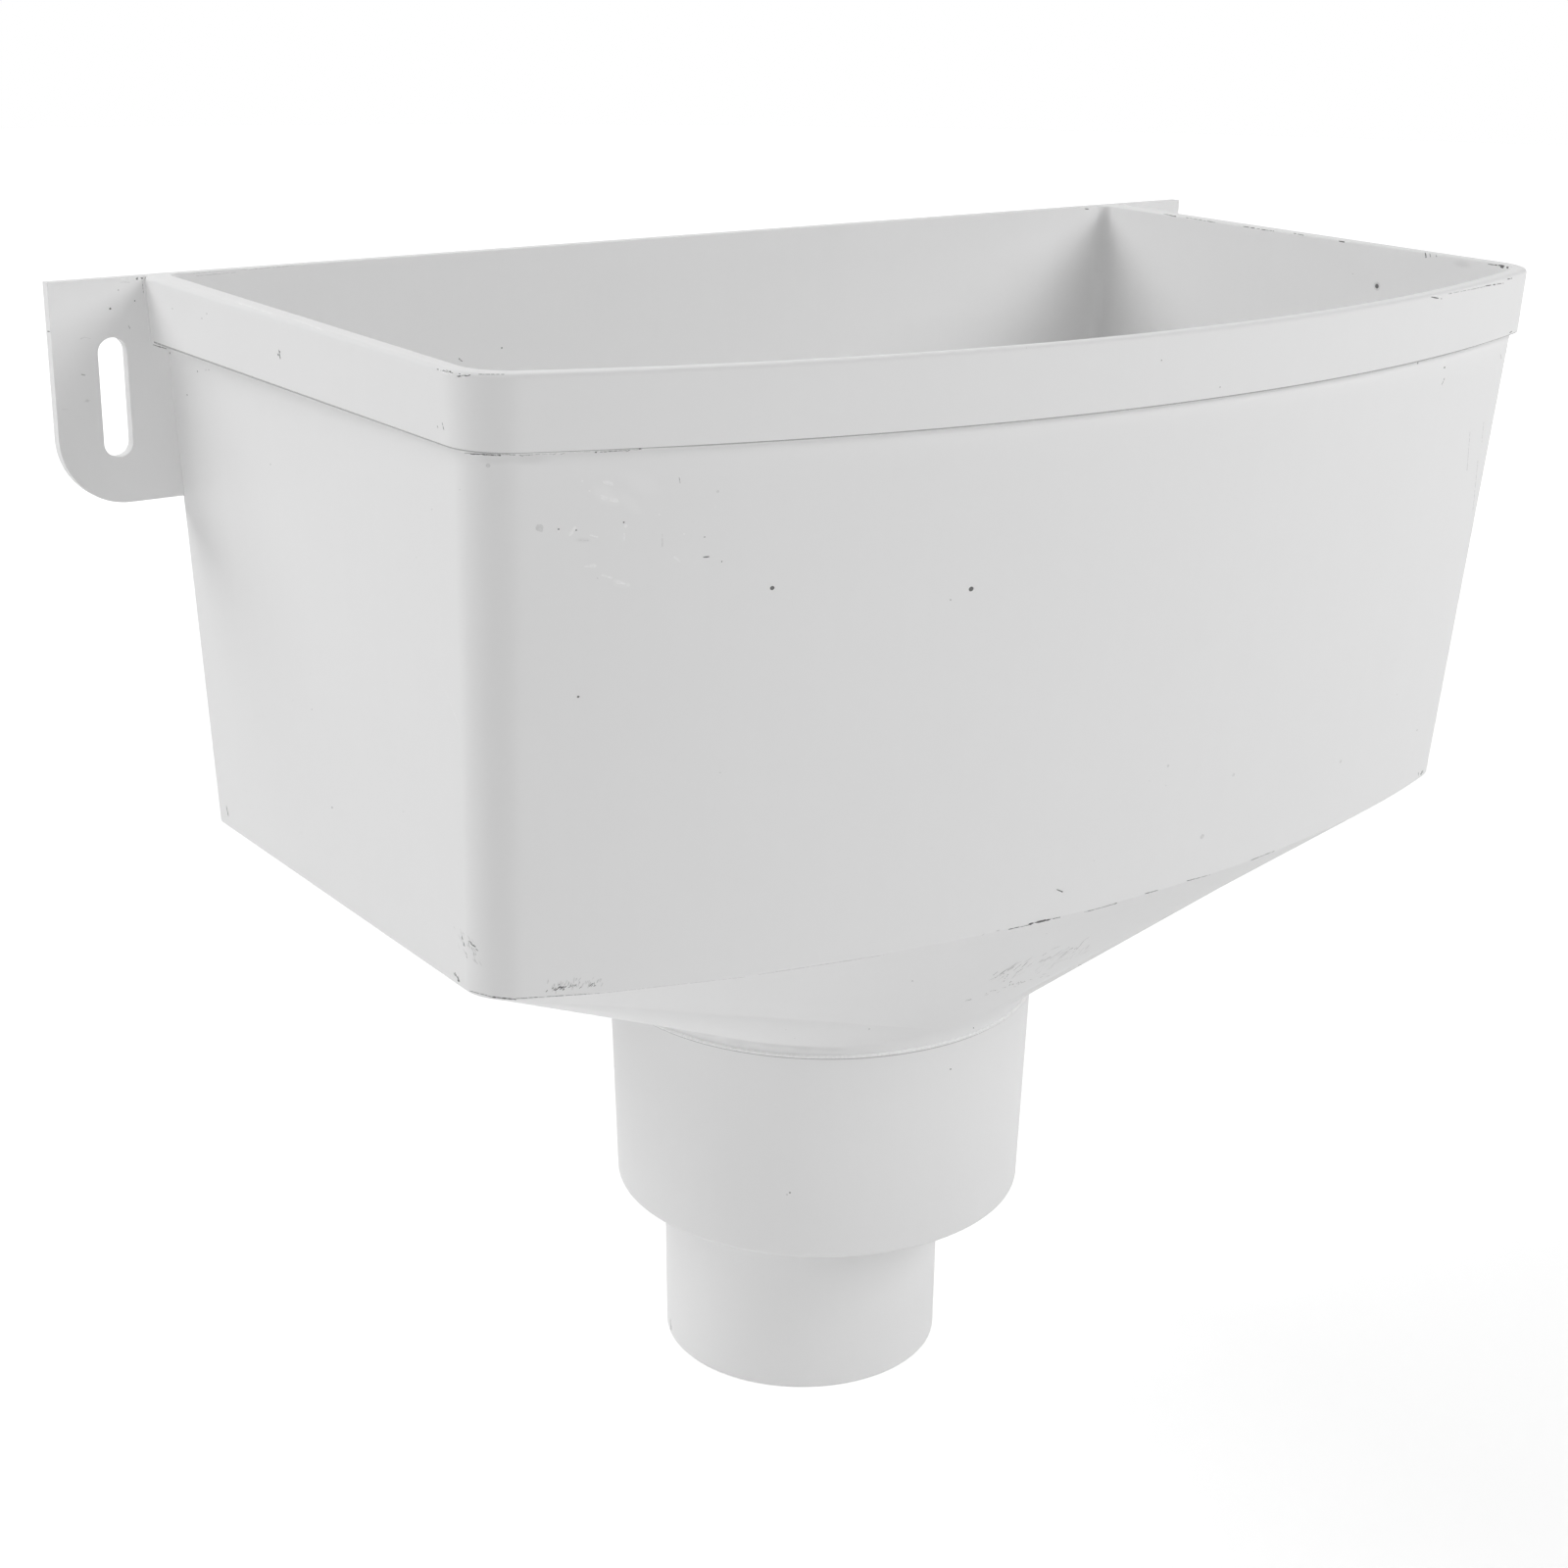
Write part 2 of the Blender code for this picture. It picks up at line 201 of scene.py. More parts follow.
# Nicks, rubs and scratches, with some lines of painted shade under the rim and painted highlights along
# edges: pixels of the two ends, then width in millimetres
DARK_LINES = (
    (1107, 213, 1111, 213.5, 0.4), (1187, 218, 1200, 221, 0.35), (1210, 222, 1240, 227, 0.2),
    (1268, 231, 1300, 236, 0.25), (1320, 238, 1330, 240, 0.3), (1366, 246, 1372, 247, 0.4),
    (1454.5, 258, 1455, 262.5, 0.7), (1459, 258.5, 1459.5, 262, 0.25), (1465, 260, 1466, 262, 0.25),
    (1518, 269.5, 1532, 271, 0.4), (1529, 271, 1539, 273.2, 0.9), (1460, 303, 1471, 305, 0.35),
    (1515, 292, 1534, 289, 0.35), (1538, 285, 1543, 284, 0.3), (1540, 340, 1543, 338, 0.3),
    (451, 431, 453, 439, 0.3), (446, 434, 447, 437, 0.2), (488, 382, 502, 382, 0.22),
    # (480, 463.2) and (492, 464.4) here, and (612, 461.4) and (156, 351.7) on the next line, are painted
    # shade under the rim
    (497, 382, 515, 382, 0.15), (480, 463.2, 526, 464.2, 0.3), (492, 464.4, 510, 464.8, 0.2),
    (612, 461.4, 652, 458.8, 0.2), (156, 351.7, 170, 356, 0.3), (48, 338, 51, 338.5, 0.4),
    (83, 382, 86, 382.8, 0.3), (284.5, 357, 286, 366, 0.5), (231, 822, 233, 833, 0.5),
    # (503, 1017.3), (479, 1011) and (526, 1019) make a dark line along the bow's bottom edge
    (503, 1017.3, 526, 1019.8, 0.45), (479, 1011, 503, 1017.5, 0.2), (526, 1019, 612, 1013.5, 0.2),
    (1029, 948.3, 1052, 943.5, 0.4), (1050, 943, 1066, 939.6, 0.6), (1058, 941, 1071, 938.3, 0.8),
    (1069, 938.5, 1082, 936, 0.35), (1110, 930, 1139, 921.7, 0.6), (1106, 931, 1112, 929, 0.3),
    (1168, 912, 1181, 908.5, 0.3), (1211, 899, 1235, 892.5, 0.25), (1276, 878, 1300, 868.5, 0.3),
    (1078, 907.5, 1084, 910, 0.45), (700, 1383, 704, 1388, 0.35), (684, 1346, 684.5, 1354, 0.35),
    (717.5, 568.6, 724, 568, 0.4), (985, 1021.3, 991, 1019.8, 0.4), (1474, 385.5, 1471, 393, 0.35),
    (1100, 985.5, 1104, 984, 0.4),
)
GREY_LINES = (
    (1500, 440, 1497, 480, 0.2), (1508, 470, 1503, 520, 0.2), (1514, 430, 1512, 452, 0.2),
    # (774, 994.5) makes a dark line along the bow's bottom edge; (474, 462.4) here and (540, 464.0) on the
    # next line are painted shade under the rim's front left
    (1478, 300, 1515, 292.5, 0.25), (774, 994.5, 902, 974.6, 0.2), (474, 462.4, 540, 464.2, 0.35),
    (540, 464.0, 655, 458.4, 0.2), (145, 286, 146.5, 299, 0.2), (83, 382, 87, 383, 0.3),
    (131, 332, 132.5, 335, 0.3), (693, 487, 694, 493, 0.22), (1531, 361, 1532, 366, 0.3),
    # (612, 1013.5) makes a dark line along the bow's bottom edge
    (612, 1013.5, 760, 997, 0.15),
)
SOFT_LINES = (
    (1002, 954.5, 1004, 953, 0.5), (1017, 950, 1020, 949, 0.5), (590, 551, 600, 551.5, 0.35),
    (549, 536, 552, 541, 1.1), (675.8, 545, 675.8, 558, 0.3), (82, 346, 86, 344, 0.35),
    (86, 344, 92, 345.5, 0.35), (85, 410, 93, 408.5, 0.3), (63, 418, 69, 417.5, 0.3),
    (122, 288, 132, 288, 0.3), (200, 281.5, 240, 278, 0.3), (197, 279.5, 214, 277.5, 0.3),
    (245, 276, 300, 271, 0.3),
)
PALE_LINES = (
    (582, 545.5, 586.5, 538, 0.8), (602, 546, 609, 548, 0.6), (615, 508, 629, 511, 0.9),
    (612, 505, 622, 509, 0.6), (617, 492, 624, 494, 0.9), (596, 578, 607, 577.5, 0.9),
    (614, 587, 624, 589.5, 0.7), (628, 593, 641, 597, 0.8), (637, 544, 637, 552, 0.5),
    # (774, 993) here, (612, 1014.8) and (1477, 298.5) on the next line, (146.3, 290) on the one after, and
    # (243, 309) and (300, 326) on the last are painted highlights along edges and on the rim's side
    (688, 568, 694, 573, 0.6), (455, 705, 470, 745, 0.3), (774, 993, 903, 973, 0.22),
    (612, 1014.8, 700, 1006, 0.2), (1477, 298.5, 1533, 287, 0.3), (1460, 301.5, 1470, 302.5, 0.5),
    (1029, 950.5, 1048, 947.5, 0.25), (123, 284.5, 132, 284.5, 0.6), (146.3, 290, 152.8, 347, 0.2),
    (243, 309, 277, 320, 0.9), (300, 326, 330, 337, 0.7), (197, 280.5, 230, 278, 0.35),
    (245, 275, 290, 271.5, 0.3), (158, 349.5, 169, 353.5, 0.3), (1298, 870, 1310, 865, 0.25),
)
# Patches of short strokes: pixels of the patch's two ends, its spread, one stroke's run across and down, how
# many there are, then width in millimetres
DARK_PATCHES = (
    (446, 377, 470, 382, 1.2, 3, 1, 16, 0.2), (463, 384, 479, 383, 1, 4, -0.5, 8, 0.2),
    (468, 366, 472, 369, 0.8, 1, 1, 4, 0.3), (1014, 996, 1104, 966, 3.5, 8, -6, 12, 0.2),
    (1001, 1014.5, 1048, 1001, 1.5, 1.6, -1, 16, 0.25), (1023, 996, 1031, 1000, 4, 1.5, -1.5, 8, 0.22),
    (471, 953, 477, 979, 1.2, 1.2, 4, 9, 0.22), (472, 953, 488, 970, 1.2, 3, 2.4, 8, 0.22),
    (463, 992, 469, 1001, 1.8, 1.5, 3, 12, 0.4), (557, 1009, 608, 1005, 2.2, 2.5, -2, 18, 0.18),
    (566, 1009, 579, 1008, 1.6, 3, -1.6, 14, 0.28), (1445, 793, 1453, 787, 1.5, 0.5, 5, 6, 0.22),
    (138, 285.5, 150, 284, 1.5, 1.5, -0.6, 6, 0.22), (700, 1384, 712, 1392, 1.5, 1.5, 0.8, 9, 0.25),
    (684, 1346, 685, 1356, 1, 1, 0.8, 6, 0.25),
)
GREY_PATCHES = (
    (1013, 999, 1044, 980, 1.5, 12, -8, 9, 0.26), (1040, 986, 1108, 963, 4.5, 9, -6.5, 20, 0.26),
    (466, 948, 486, 975, 4, 1.5, 5, 10, 0.25), (560, 1006, 612, 1004, 3, 1, -4, 14, 0.2),
    (1000, 1016, 1070, 995, 2.5, 4, -1.6, 10, 0.24),
)
SOFT_PATCHES = (
    (1016, 1002, 1108, 968, 9, 9, -6.5, 40, 0.28), (462, 945, 490, 980, 8, 3, 6, 16, 0.4),
    (550, 1006, 615, 1002, 6, 2, -5, 24, 0.35),
)
PALE_PATCHES = (
    (448, 379, 476, 384, 2, 4, 1, 16, 0.3), (1016, 999, 1048, 980, 3, 12, -8, 10, 0.28),
    (1044, 987, 1110, 964, 6, 9, -6.5, 26, 0.28), (466, 994, 468, 998, 0.6, 1.5, 3, 4, 0.4),
)
# Soft-edged patches in the plastic's colour: pixels of the two ends, half width and depth in millimetres,
# then the share by which the white darkens. The first five are painted shade in the hollow over the neck, the
# next two painted shade under the rim's front left, and the rest smudges
SMUDGES_AND_SHADE = (
    # Painted shade in the hollow over the neck
    (712, 1055, 738, 1058, 0.7, 2, 0.05),
    (738, 1061, 776, 1064.5, 1.5, 2, 0.08),
    (768, 1064.5, 812, 1068.5, 1.4, 2, 0.1),
    (800, 1068, 838, 1070.5, 1.2, 2, 0.1),
    (832, 1070.5, 864, 1071, 1.0, 2, 0.06),
    # Painted shade under the rim's front left
    (482, 467, 526, 468.5, 1.6, 2, 0.07),
    (520, 469, 562, 468, 1.5, 2, 0.06),
    # Smudges
    (607, 500, 629, 511, 2.0, 2, -0.03),
    (634, 504, 652, 522, 1.8, 2, -0.02),
    (628, 594, 642, 597, 1.2, 2, -0.02),
    (640, 486, 668, 500, 3.0, 2, -0.02),
    (1484, 268, 1500, 271, 1.2, 2, 0.08),
    (588, 551, 602, 551.5, 0.7, 2, 0.05),
)
# Inside this share of its reach a soft patch has its full tone
SOFT_PATCH_CORE = 0.2

# Smallest and largest loose speck, in metres, how many there are, and the seed of every random draw
SPECK_WIDTHS = (0.00012, 0.00037)
LOOSE_SPECKS = 120
SPECK_SEED = 7

# Each piece of marks: its spots and how far they stand out, its lines and its patches
MARKS = {
    "dark_marks": (DARK_SPOTS, SPOT_PROUD, DARK_LINES, DARK_PATCHES),
    "grey_marks": ((), SPOT_PROUD, GREY_LINES, GREY_PATCHES),
    "soft_marks": (SOFT_SPOTS, SOFT_SPOT_PROUD, SOFT_LINES, SOFT_PATCHES),
    "pale_marks": (PALE_SPOTS, SPOT_PROUD, PALE_LINES, PALE_PATCHES),
}


def length(name, description, default):
    return bpy.props.FloatProperty(
        name=name,
        description=description,
        default=default,
        min=0,
        unit="LENGTH",
        subtype="DISTANCE",
        precision=5,
    )


def share(name, description, default):
    return bpy.props.FloatProperty(
        name=name, description=description, default=default, min=0, max=1, subtype="FACTOR", precision=3
    )


def colour(name, description, default):
    return bpy.props.FloatVectorProperty(
        name=name, description=description, default=default, min=0, max=1, size=3, subtype="COLOR"
    )


def power(name, description, default):
    return bpy.props.FloatProperty(name=name, description=description, default=default, min=0, unit="POWER")


class HopperSizes(bpy.types.PropertyGroup):
    """Sizes of the moulding, the same as the CAD part's."""

    plate_thickness: length("Plate thickness", "Back plate and fixing ears", 0.0032)
    ear_reach: length("Ear reach", "How far each ear stands out past the rim", 0.0236)
    ear_height: length("Ear height", "From the rim's top down", 0.0535)
    ear_corner: length("Ear corner radius", "Round of the lower outer corner", 0.0166)
    slot_width: length("Slot width", "Clear width of a fixing slot", 0.0071)
    slot_length: length("Slot length", "Overall length of a fixing slot", 0.0285)
    slot_top_margin: length("Slot top margin", "From the ear's top to the slot", 0.01385)
    slot_side_margin: length("Slot side margin", "From the ear's outer side to the slot", 0.01105)
    rim_width_back: length("Rim width at the back", "Outside, at the wall", 0.3058)
    rim_width_front: length("Rim width at the front", "Outside, between the front corners", 0.3042)
    rim_reach: length("Rim reach", "From the wall to the front corners", 0.1610)
    rim_bow: length("Rim bow", "How far the front bows out past its corners", 0.0309)
    rim_corner: length("Rim corner radius", "Round of the front corners", 0.0156)
    rim_height: length("Rim height", "Height of the rim band", 0.0158)
    rim_draft: length("Rim draft", "How much the band draws in towards its bottom", 0.00074)
    overhang_back: length("Overhang at the back", "Step under the rim, at the sides by the wall", 0.0038)
    overhang_side: length("Overhang at the side", "Step under the rim, at the sides by the front", 0.0015)
    overhang_front: length("Overhang at the front", "Step under the rim along the bow", 0.0013)
    overhang_slope: length("Overhang slope", "How much the step's underside falls to the wall", 0.0003)
    bottom_width_back: length("Bottom width at the back", "Basin's bottom edge at the wall", 0.2832)
    bottom_width_front: length("Bottom width at the front", "Basin's bottom edge between the corners", 0.2912)
    bottom_reach: length("Bottom reach", "From the wall to the bottom edge's corners", 0.1485)
    bottom_bow: length("Bottom bow", "How far the bottom edge bows out", 0.0293)
    bottom_corner: length("Bottom corner radius", "Round of the bottom edge's corners", 0.0120)
    basin_depth: length("Basin depth", "From the rim's top to the bottom edge, at the front", 0.1352)
    back_drop: length("Back drop", "How much lower the bottom edge is at the wall", 0.0035)
    back_edge: length("Back edge radius", "Round of the basin's upright back edges", 0.0032)
    basin_wall: length("Basin wall", "Wall thickness of the basin", 0.0023)
    funnel_floor: length("Funnel floor", "Height of the inner funnel above the outer one", 0.0012)
    spigot_gap: length("Spigot gap", "From the wall to the large spigot", 0.0107)
    funnel_drop: length("Funnel drop", "From the bottom edge to the neck", 0.0510)
    neck_height: length("Neck height", "Plain band between the funnel and the bead", 0.0024)
    neck_round: length("Neck rounding", "Length of the hollow round where the funnel meets the neck", 0.0017)
    neck_inset: length("Neck inset", "How far the neck lies behind the bead", 0.0004)
    bead_height: length("Bead height", "Thin raised ring at the top of the large spigot", 0.0009)
    large_top: length("Large spigot top radius", "Outside, at the bead", 0.0572)
    large_end: length("Large spigot end radius", "Outside, at the step", 0.0550)
    large_length: length("Large spigot length", "From the neck to the step", 0.0582)
    large_wall: length("Large spigot wall", "Wall thickness", 0.0030)
    step_floor: length("Step floor", "Thickness of the ledge between the spigots", 0.0030)
    ledge_behind: length("Ledge behind", "Width of the ledge behind the small spigot", 0.0096)
    small_top: length("Small spigot top radius", "Outside, under the step", 0.0383)
    small_end: length("Small spigot end radius", "Outside, at the end", 0.0379)
    small_length: length("Small spigot length", "From the step to the end", 0.0523)
    small_wall: length("Small spigot wall", "Wall thickness", 0.0029)
    edge_round: length("Edge rounding", "Round of the rim's and the ears' edges", 0.0006)
    end_round: length("End rounding", "Round of the spigots' ends", 0.0010)

    def top(self):
        return self.slot_top_margin + self.slot_length / 2

    def plate_width(self):
        return self.rim_width_back + 2 * self.ear_reach

    def slot_place(self):
        """How far each slot's middle is from the hopper's middle."""
        return self.plate_width() / 2 - self.slot_side_margin - self.slot_width / 2

    def large_axis(self):
        return -(self.spigot_gap + self.large_top)

    def small_axis(self):
        return self.large_axis() + self.large_end - self.ledge_behind - self.small_top


class HopperFinish(bpy.types.PropertyGroup):
    """Colours and surface of the plastic and of its marks, painted shade and painted highlights."""

    plastic: colour("Plastic", "Body colour of the moulding", (0.90, 0.90, 0.90))
    roughness: share("Roughness", "Satin of the moulded skin", 0.60)
    mottle: share("Mottle", "Depth of the faint clouds and flow lines in the white", 0.02)
    grain: length("Grain", "Height of the skin's fine unevenness", 0.000008)
    # The dark and grey marks also hold painted shade under the rim's front left
    dark_mark_and_shade: colour("Dark marks", "Grit and dark rubs", (0.16, 0.16, 0.16))
    grey_mark_and_shade: colour("Grey marks", "Light rubs", (0.55, 0.55, 0.55))
    # Colour of the painted shade under the rim and under the bead
    grime: colour("Painted shade", "Line under the rim and the bead", (0.46, 0.46, 0.46))
    soft_mark: colour("Soft marks", "Faint rubs and shallow dents", (0.80, 0.80, 0.80))
    # The pale colour also paints highlights on the rim, along the bow's bottom edge and on the bead
    pale_mark_and_highlight: colour("Pale marks", "Scratches and rims that show whiter than the body", (1.0, 1.0, 1.0))


class HopperStage(bpy.types.PropertyGroup):
    """Floor, lamps and camera."""

    floor: colour("Floor", "Colour of the floor", (0.80, 0.80, 0.80))
    floor_width: length("Floor width", "Diameter of the round floor", 8.0)
    floor_glow: share("Floor glow", "Even light that comes up from the floor", 0.146)
    room_light: share("Room light", "Strength of the even light from all round", 0.095)
    key_lamp: power("Key softbox", "Lamp high in front on the right", 14.5)
    view_lamp: power("View softbox", "Weak lamp beside the camera", 3.0)
    left_lamp: power("Left softbox", "Lamp on the hopper's left", 3.5)
    right_lamp: power("Right softbox", "Weak lamp on the hopper's right", 1.2)
    back_lamp: power("Back softbox", "Weak lamp high behind the hopper", 5.6)
    left_back_lamp: power("Left back softbox", "Lamp high behind the hopper's left", 15.7)
    lens: bpy.props.FloatProperty(
        name="Lens", description="Focal length", default=60.871, min=1, unit="CAMERA", precision=3
    )


def swing(mesh, vert, centre, angle, steps):
    """Carries a vertex round an upright axis, which leaves a wire behind it. Gives the last vertex."""
    done = bmesh.ops.spin(
        mesh,
        geom=[vert],
        cent=(*centre, 0),
        axis=(0, 0, 1),
        dvec=(0, 0, 0),
        angle=angle,
        steps=steps,
        use_merge=False,
        use_normal_flip=False,
        use_duplicate=False,
    )
    return next(item for item in done["geom_last"] if isinstance(item, bmesh.types.BMVert))


def draw(mesh, vert, end, steps):
    """Draws a straight wire from a vertex to a point (x, y), in even steps. Gives the last vertex."""
    stride = (Vector((*end, vert.co.z)) - vert.co) / steps
    for _ in range(steps):
        vert = bmesh.ops.extrude_vert_indiv(mesh, verts=[vert])["verts"][0]
        bmesh.ops.translate(mesh, verts=[vert], vec=stride)
    return vert


def wire_from(vert):
    """The edges of a loose wire in their order, from its first vertex."""
    edges = []
    while True:
        onward = [edge for edge in vert.link_edges if edge not in edges[-1:]]
        if not onward:
            return edges
        edges.append(onward[0])
        vert = onward[0].other_vert(vert)


def half_plan(mesh, plan, height):
    """The right half of one level of the basin, as a wire from the front's middle to the back's.

    The front is part of one bow from corner to corner. The side is straight from the wall to the front
    corner, and both of its ends are rounded.
    """
    half_back, half_front = plan["width_back"] / 2, plan["width_front"] / 2
    front_y, bow, radius = -plan["reach"], plan["bow"], plan["corner"]
    bow_radius = (half_front**2 + bow**2) / (2 * bow)
    bow_centre = Vector((0, front_y - bow + bow_radius))

    side = Vector((half_front - half_back, front_y - plan["back_y"])).normalized()
    inward = Vector((side.y, -side.x))

    # The corner's centre is one radius inside the side and one radius inside the bow
    base = Vector((half_front, front_y)) + inward * radius
    from_bow = base - bow_centre
    b = from_bow.dot(side)
    root = math.sqrt(b * b - from_bow.dot(from_bow) + (bow_radius - radius) ** 2)
    corner = base + side * min(-b + root, -b - root, key=abs)
    side_angle = math.atan2(-inward.y, -inward.x)
    front_angle = math.atan2(corner.y - bow_centre.y, corner.x)

    back_shift = plan["back_edge"] * math.tan((math.pi / 2 - side_angle) / 2)
    back = Vector((half_back - back_shift, plan["back_y"] - plan["back_edge"]))
    back_start = back - inward * plan["back_edge"]

    first = mesh.verts.new((0, front_y - bow, 0))
    last = swing(mesh, first, bow_centre, front_angle + math.pi / 2, BOW_STEPS)
    last = swing(mesh, last, corner, side_angle - front_angle, QUARTER_STEPS)
    last = draw(mesh, last, back_start, SIDE_STEPS)
    last = swing(mesh, last, back, math.pi / 2 - side_angle, QUARTER_STEPS)
    draw(mesh, last, (0, plan["back_y"]), BACK_STEPS)

    wire = wire_from(first)
    for vert in {vert for edge in wire for vert in edge.verts}:
        vert.co.z = height(vert.co.y)
    return wire


def half_ring(mesh, radius, centre_y, z):
    """The right half of a level circle, as a wire from its front to its back."""
    first = mesh.verts.new((0, centre_y - radius, z))
    swing(mesh, first, (0, centre_y), math.pi, 2 * QUARTER_STEPS)
    return wire_from(first)


def skin(mesh, wires):
    """Faces between each wire and the next."""
    for upper, lower in zip(wires, wires[1:]):
        bmesh.ops.bridge_loops(mesh, edges=[*upper, *lower])


def fan(mesh, run, point):
    """Draws a run of edges in to one point."""
    done = bmesh.ops.extrude_edge_only(mesh, edges=run)
    moved = [item for item in done["geom"] if isinstance(item, bmesh.types.BMVert)]
    bmesh.ops.pointmerge(mesh, verts=moved, merge_co=point)


def in_order(items):
    """Each item once, in the order in which they first come, so that every run builds the same mesh."""
    return list(dict.fromkeys(items))


def end_of(wire, other):
    """The vertex where a wire ends, away from its neighbour edge `other`."""
    return next(vert for vert in wire.verts if vert not in other.verts)


def funnel(mesh, plan, ring):
    """Half of the square-to-round transition.

    Each straight side and the bow fan in to one point of the circle, and each corner spreads to a quarter
    of it.
    """
    bow_end = BOW_STEPS
    corner_end = bow_end + QUARTER_STEPS
    side_end = corner_end + SIDE_STEPS
    back_end = side_end + QUARTER_STEPS
    front = end_of(ring[0], ring[1]).co.copy()
    right = end_of(ring[QUARTER_STEPS - 1], ring[QUARTER_STEPS - 2]).co.copy()
    back = end_of(ring[-1], ring[-2]).co.copy()
    before = set(mesh.faces)
    fan(mesh, plan[:bow_end], front)
    fan(mesh, plan[corner_end:side_end], right)
    fan(mesh, plan[back_end:], back)
    skin(mesh, [plan[bow_end:corner_end], ring[:QUARTER_STEPS]])
    skin(mesh, [plan[side_end:back_end], ring[QUARTER_STEPS:]])

    # Level cuts, so that the long facets shade evenly
    low = front.z
    high = min(vert.co.z for edge in plan for vert in edge.verts)
    for level in range(1, FUNNEL_LEVELS):
        faces = [face for face in mesh.faces if face not in before]
        edges = in_order(edge for face in faces for edge in face.edges)
        verts = in_order(vert for face in faces for vert in face.verts)
        z = low + (high - low) * level / FUNNEL_LEVELS
        bmesh.ops.bisect_plane(
            mesh, geom=[*verts, *edges, *faces], dist=WELD, plane_co=(0, 0, z), plane_no=(0, 0, 1)
        )


def basin_plan(sizes, down, wall):
    """The basin's plan, less a wall, from just under the rim (down = 0) to its bottom edge (down = 1)."""
    top = {
        "width_back": sizes.rim_width_back - 2 * (sizes.rim_draft + sizes.overhang_back),
        "width_front": sizes.rim_width_front - 2 * (sizes.rim_draft + sizes.overhang_side),
        "reach": sizes.rim_reach - sizes.rim_draft - sizes.overhang_front,
        "bow": sizes.rim_bow,
        "corner": sizes.rim_corner - sizes.rim_draft - sizes.overhang_front,
    }
    bottom = {
        "width_back": sizes.bottom_width_back,
        "width_front": sizes.bottom_width_front,
        "reach": sizes.bottom_reach,
        "bow": sizes.bottom_bow,
        "corner": sizes.bottom_corner,
    }
    plan = {name: top[name] + (bottom[name] - top[name]) * down for name in top}
    plan["width_back"] -= 2 * wall
    plan["width_front"] -= 2 * wall
    plan["reach"] -= wall
    plan["corner"] -= wall
    plan["back_edge"] = sizes.back_edge
    plan["back_y"] = -sizes.plate_thickness if wall else 0
    return plan


def rim_plan(sizes, draft):
    return {
        "width_back": sizes.rim_width_back - 2 * draft,
        "width_front": sizes.rim_width_front - 2 * draft,
        "reach": sizes.rim_reach - draft,
        "bow": sizes.rim_bow,
        "corner": sizes.rim_corner - draft,
        "back_edge": sizes.back_edge,
        "back_y": 0,
    }


def wall_wires(mesh, sizes, top, down, wall, floor):
    """Levels of one face of the basin's wall, from `top`, which lies `down` the wall, to its bottom edge."""

    def height_at(level):
        def height(y):
            to_wall = min(1, max(0, 1 + y / sizes.bottom_reach))
            bottom = sizes.top() - sizes.basin_depth - sizes.back_drop * to_wall + floor
            return top + (bottom - top) * level

        return height

    wires = []
    for step in range(WALL_LEVELS + 1):
        level = step / WALL_LEVELS
        plan = basin_plan(sizes, down + (1 - down) * level, wall)
        wires.append(half_plan(mesh, plan, height_at(level)))
    return wires


def mark_round(mesh, wire, radius):
    """Notes an edge rounding on a wire, except where it runs flat along the wall."""
    layer = mesh.edges.layers.float["rounding"]
    for edge in wire:
        if any(abs(vert.co.y) > LEVEL for vert in edge.verts):
            edge[layer] = radius


def round_edges(mesh, edges, radius, steps):
    """Rounds edges. Gives the new edges."""
    done = bmesh.ops.bevel(
        mesh,
        geom=edges,
        offset=radius,
        offset_type="OFFSET",
        segments=steps,
        profile=0.5,
        affect="EDGES",
        clamp_overlap=False,
        material=-1,
    )
    return done["edges"]


def round_marked(mesh):
    """Rounds every edge that has a rounding noted on it, one radius at a time."""
    layer = mesh.edges.layers.float["rounding"]
    radii = sorted({round(edge[layer], 6) for edge in mesh.edges if edge[layer] > 0})
    for radius in radii:
        edges = [edge for edge in mesh.edges if abs(edge[layer] - radius) < WELD]
        for edge in round_edges(mesh, edges, radius, ROUNDING_STEPS):
            edge[layer] = 0


def add_left_half(mesh):
    """Mirrors the right half, joins the two where they meet and turns every face outward."""
    bmesh.ops.mirror(mesh, geom=[*mesh.verts, *mesh.edges, *mesh.faces], merge_dist=WELD, axis="X")
    bmesh.ops.remove_doubles(mesh, verts=mesh.verts, dist=WELD)
    bmesh.ops.recalc_face_normals(mesh, faces=mesh.faces)


def new_piece(name, mesh):
    """A new object from a bmesh, at the origin."""
    data = bpy.data.meshes.new(name)
    mesh.to_mesh(data)
    mesh.free()
    piece = bpy.data.objects.new(name, data)
    bpy.context.scene.collection.objects.link(piece)
    return piece


def settle(piece):
    """Applies a piece's modifiers to its mesh."""
    graph = bpy.context.evaluated_depsgraph_get()
    data = bpy.data.meshes.new_from_object(piece.evaluated_get(graph))
    piece.modifiers.clear()
    old = piece.data
    piece.data = data
    bpy.data.meshes.remove(old)


def combine(piece, helper, operation):
    """Joins a closed helper to a piece, or cuts it out, and removes the helper."""
    modifier = piece.modifiers.new(operation.title(), "BOOLEAN")
    modifier.operation = operation
    modifier.solver = "EXACT"
    modifier.object = helper
    settle(piece)
    data = helper.data
    bpy.data.objects.remove(helper)
    bpy.data.meshes.remove(data)


def box(mesh, low, high):
    """A box between two corners. Gives its new edges."""
    low, high = Vector(low), Vector(high)
    matrix = Matrix.Translation((low + high) / 2) @ Matrix.Diagonal((*(high - low), 1))
    done = bmesh.ops.create_cube(mesh, size=1, matrix=matrix)
    return in_order(edge for vert in done["verts"] for edge in vert.link_edges)


def runs_along_y(edge):
    a, b = edge.verts
    return abs(a.co.x - b.co.x) + abs(a.co.z - b.co.z) < LEVEL


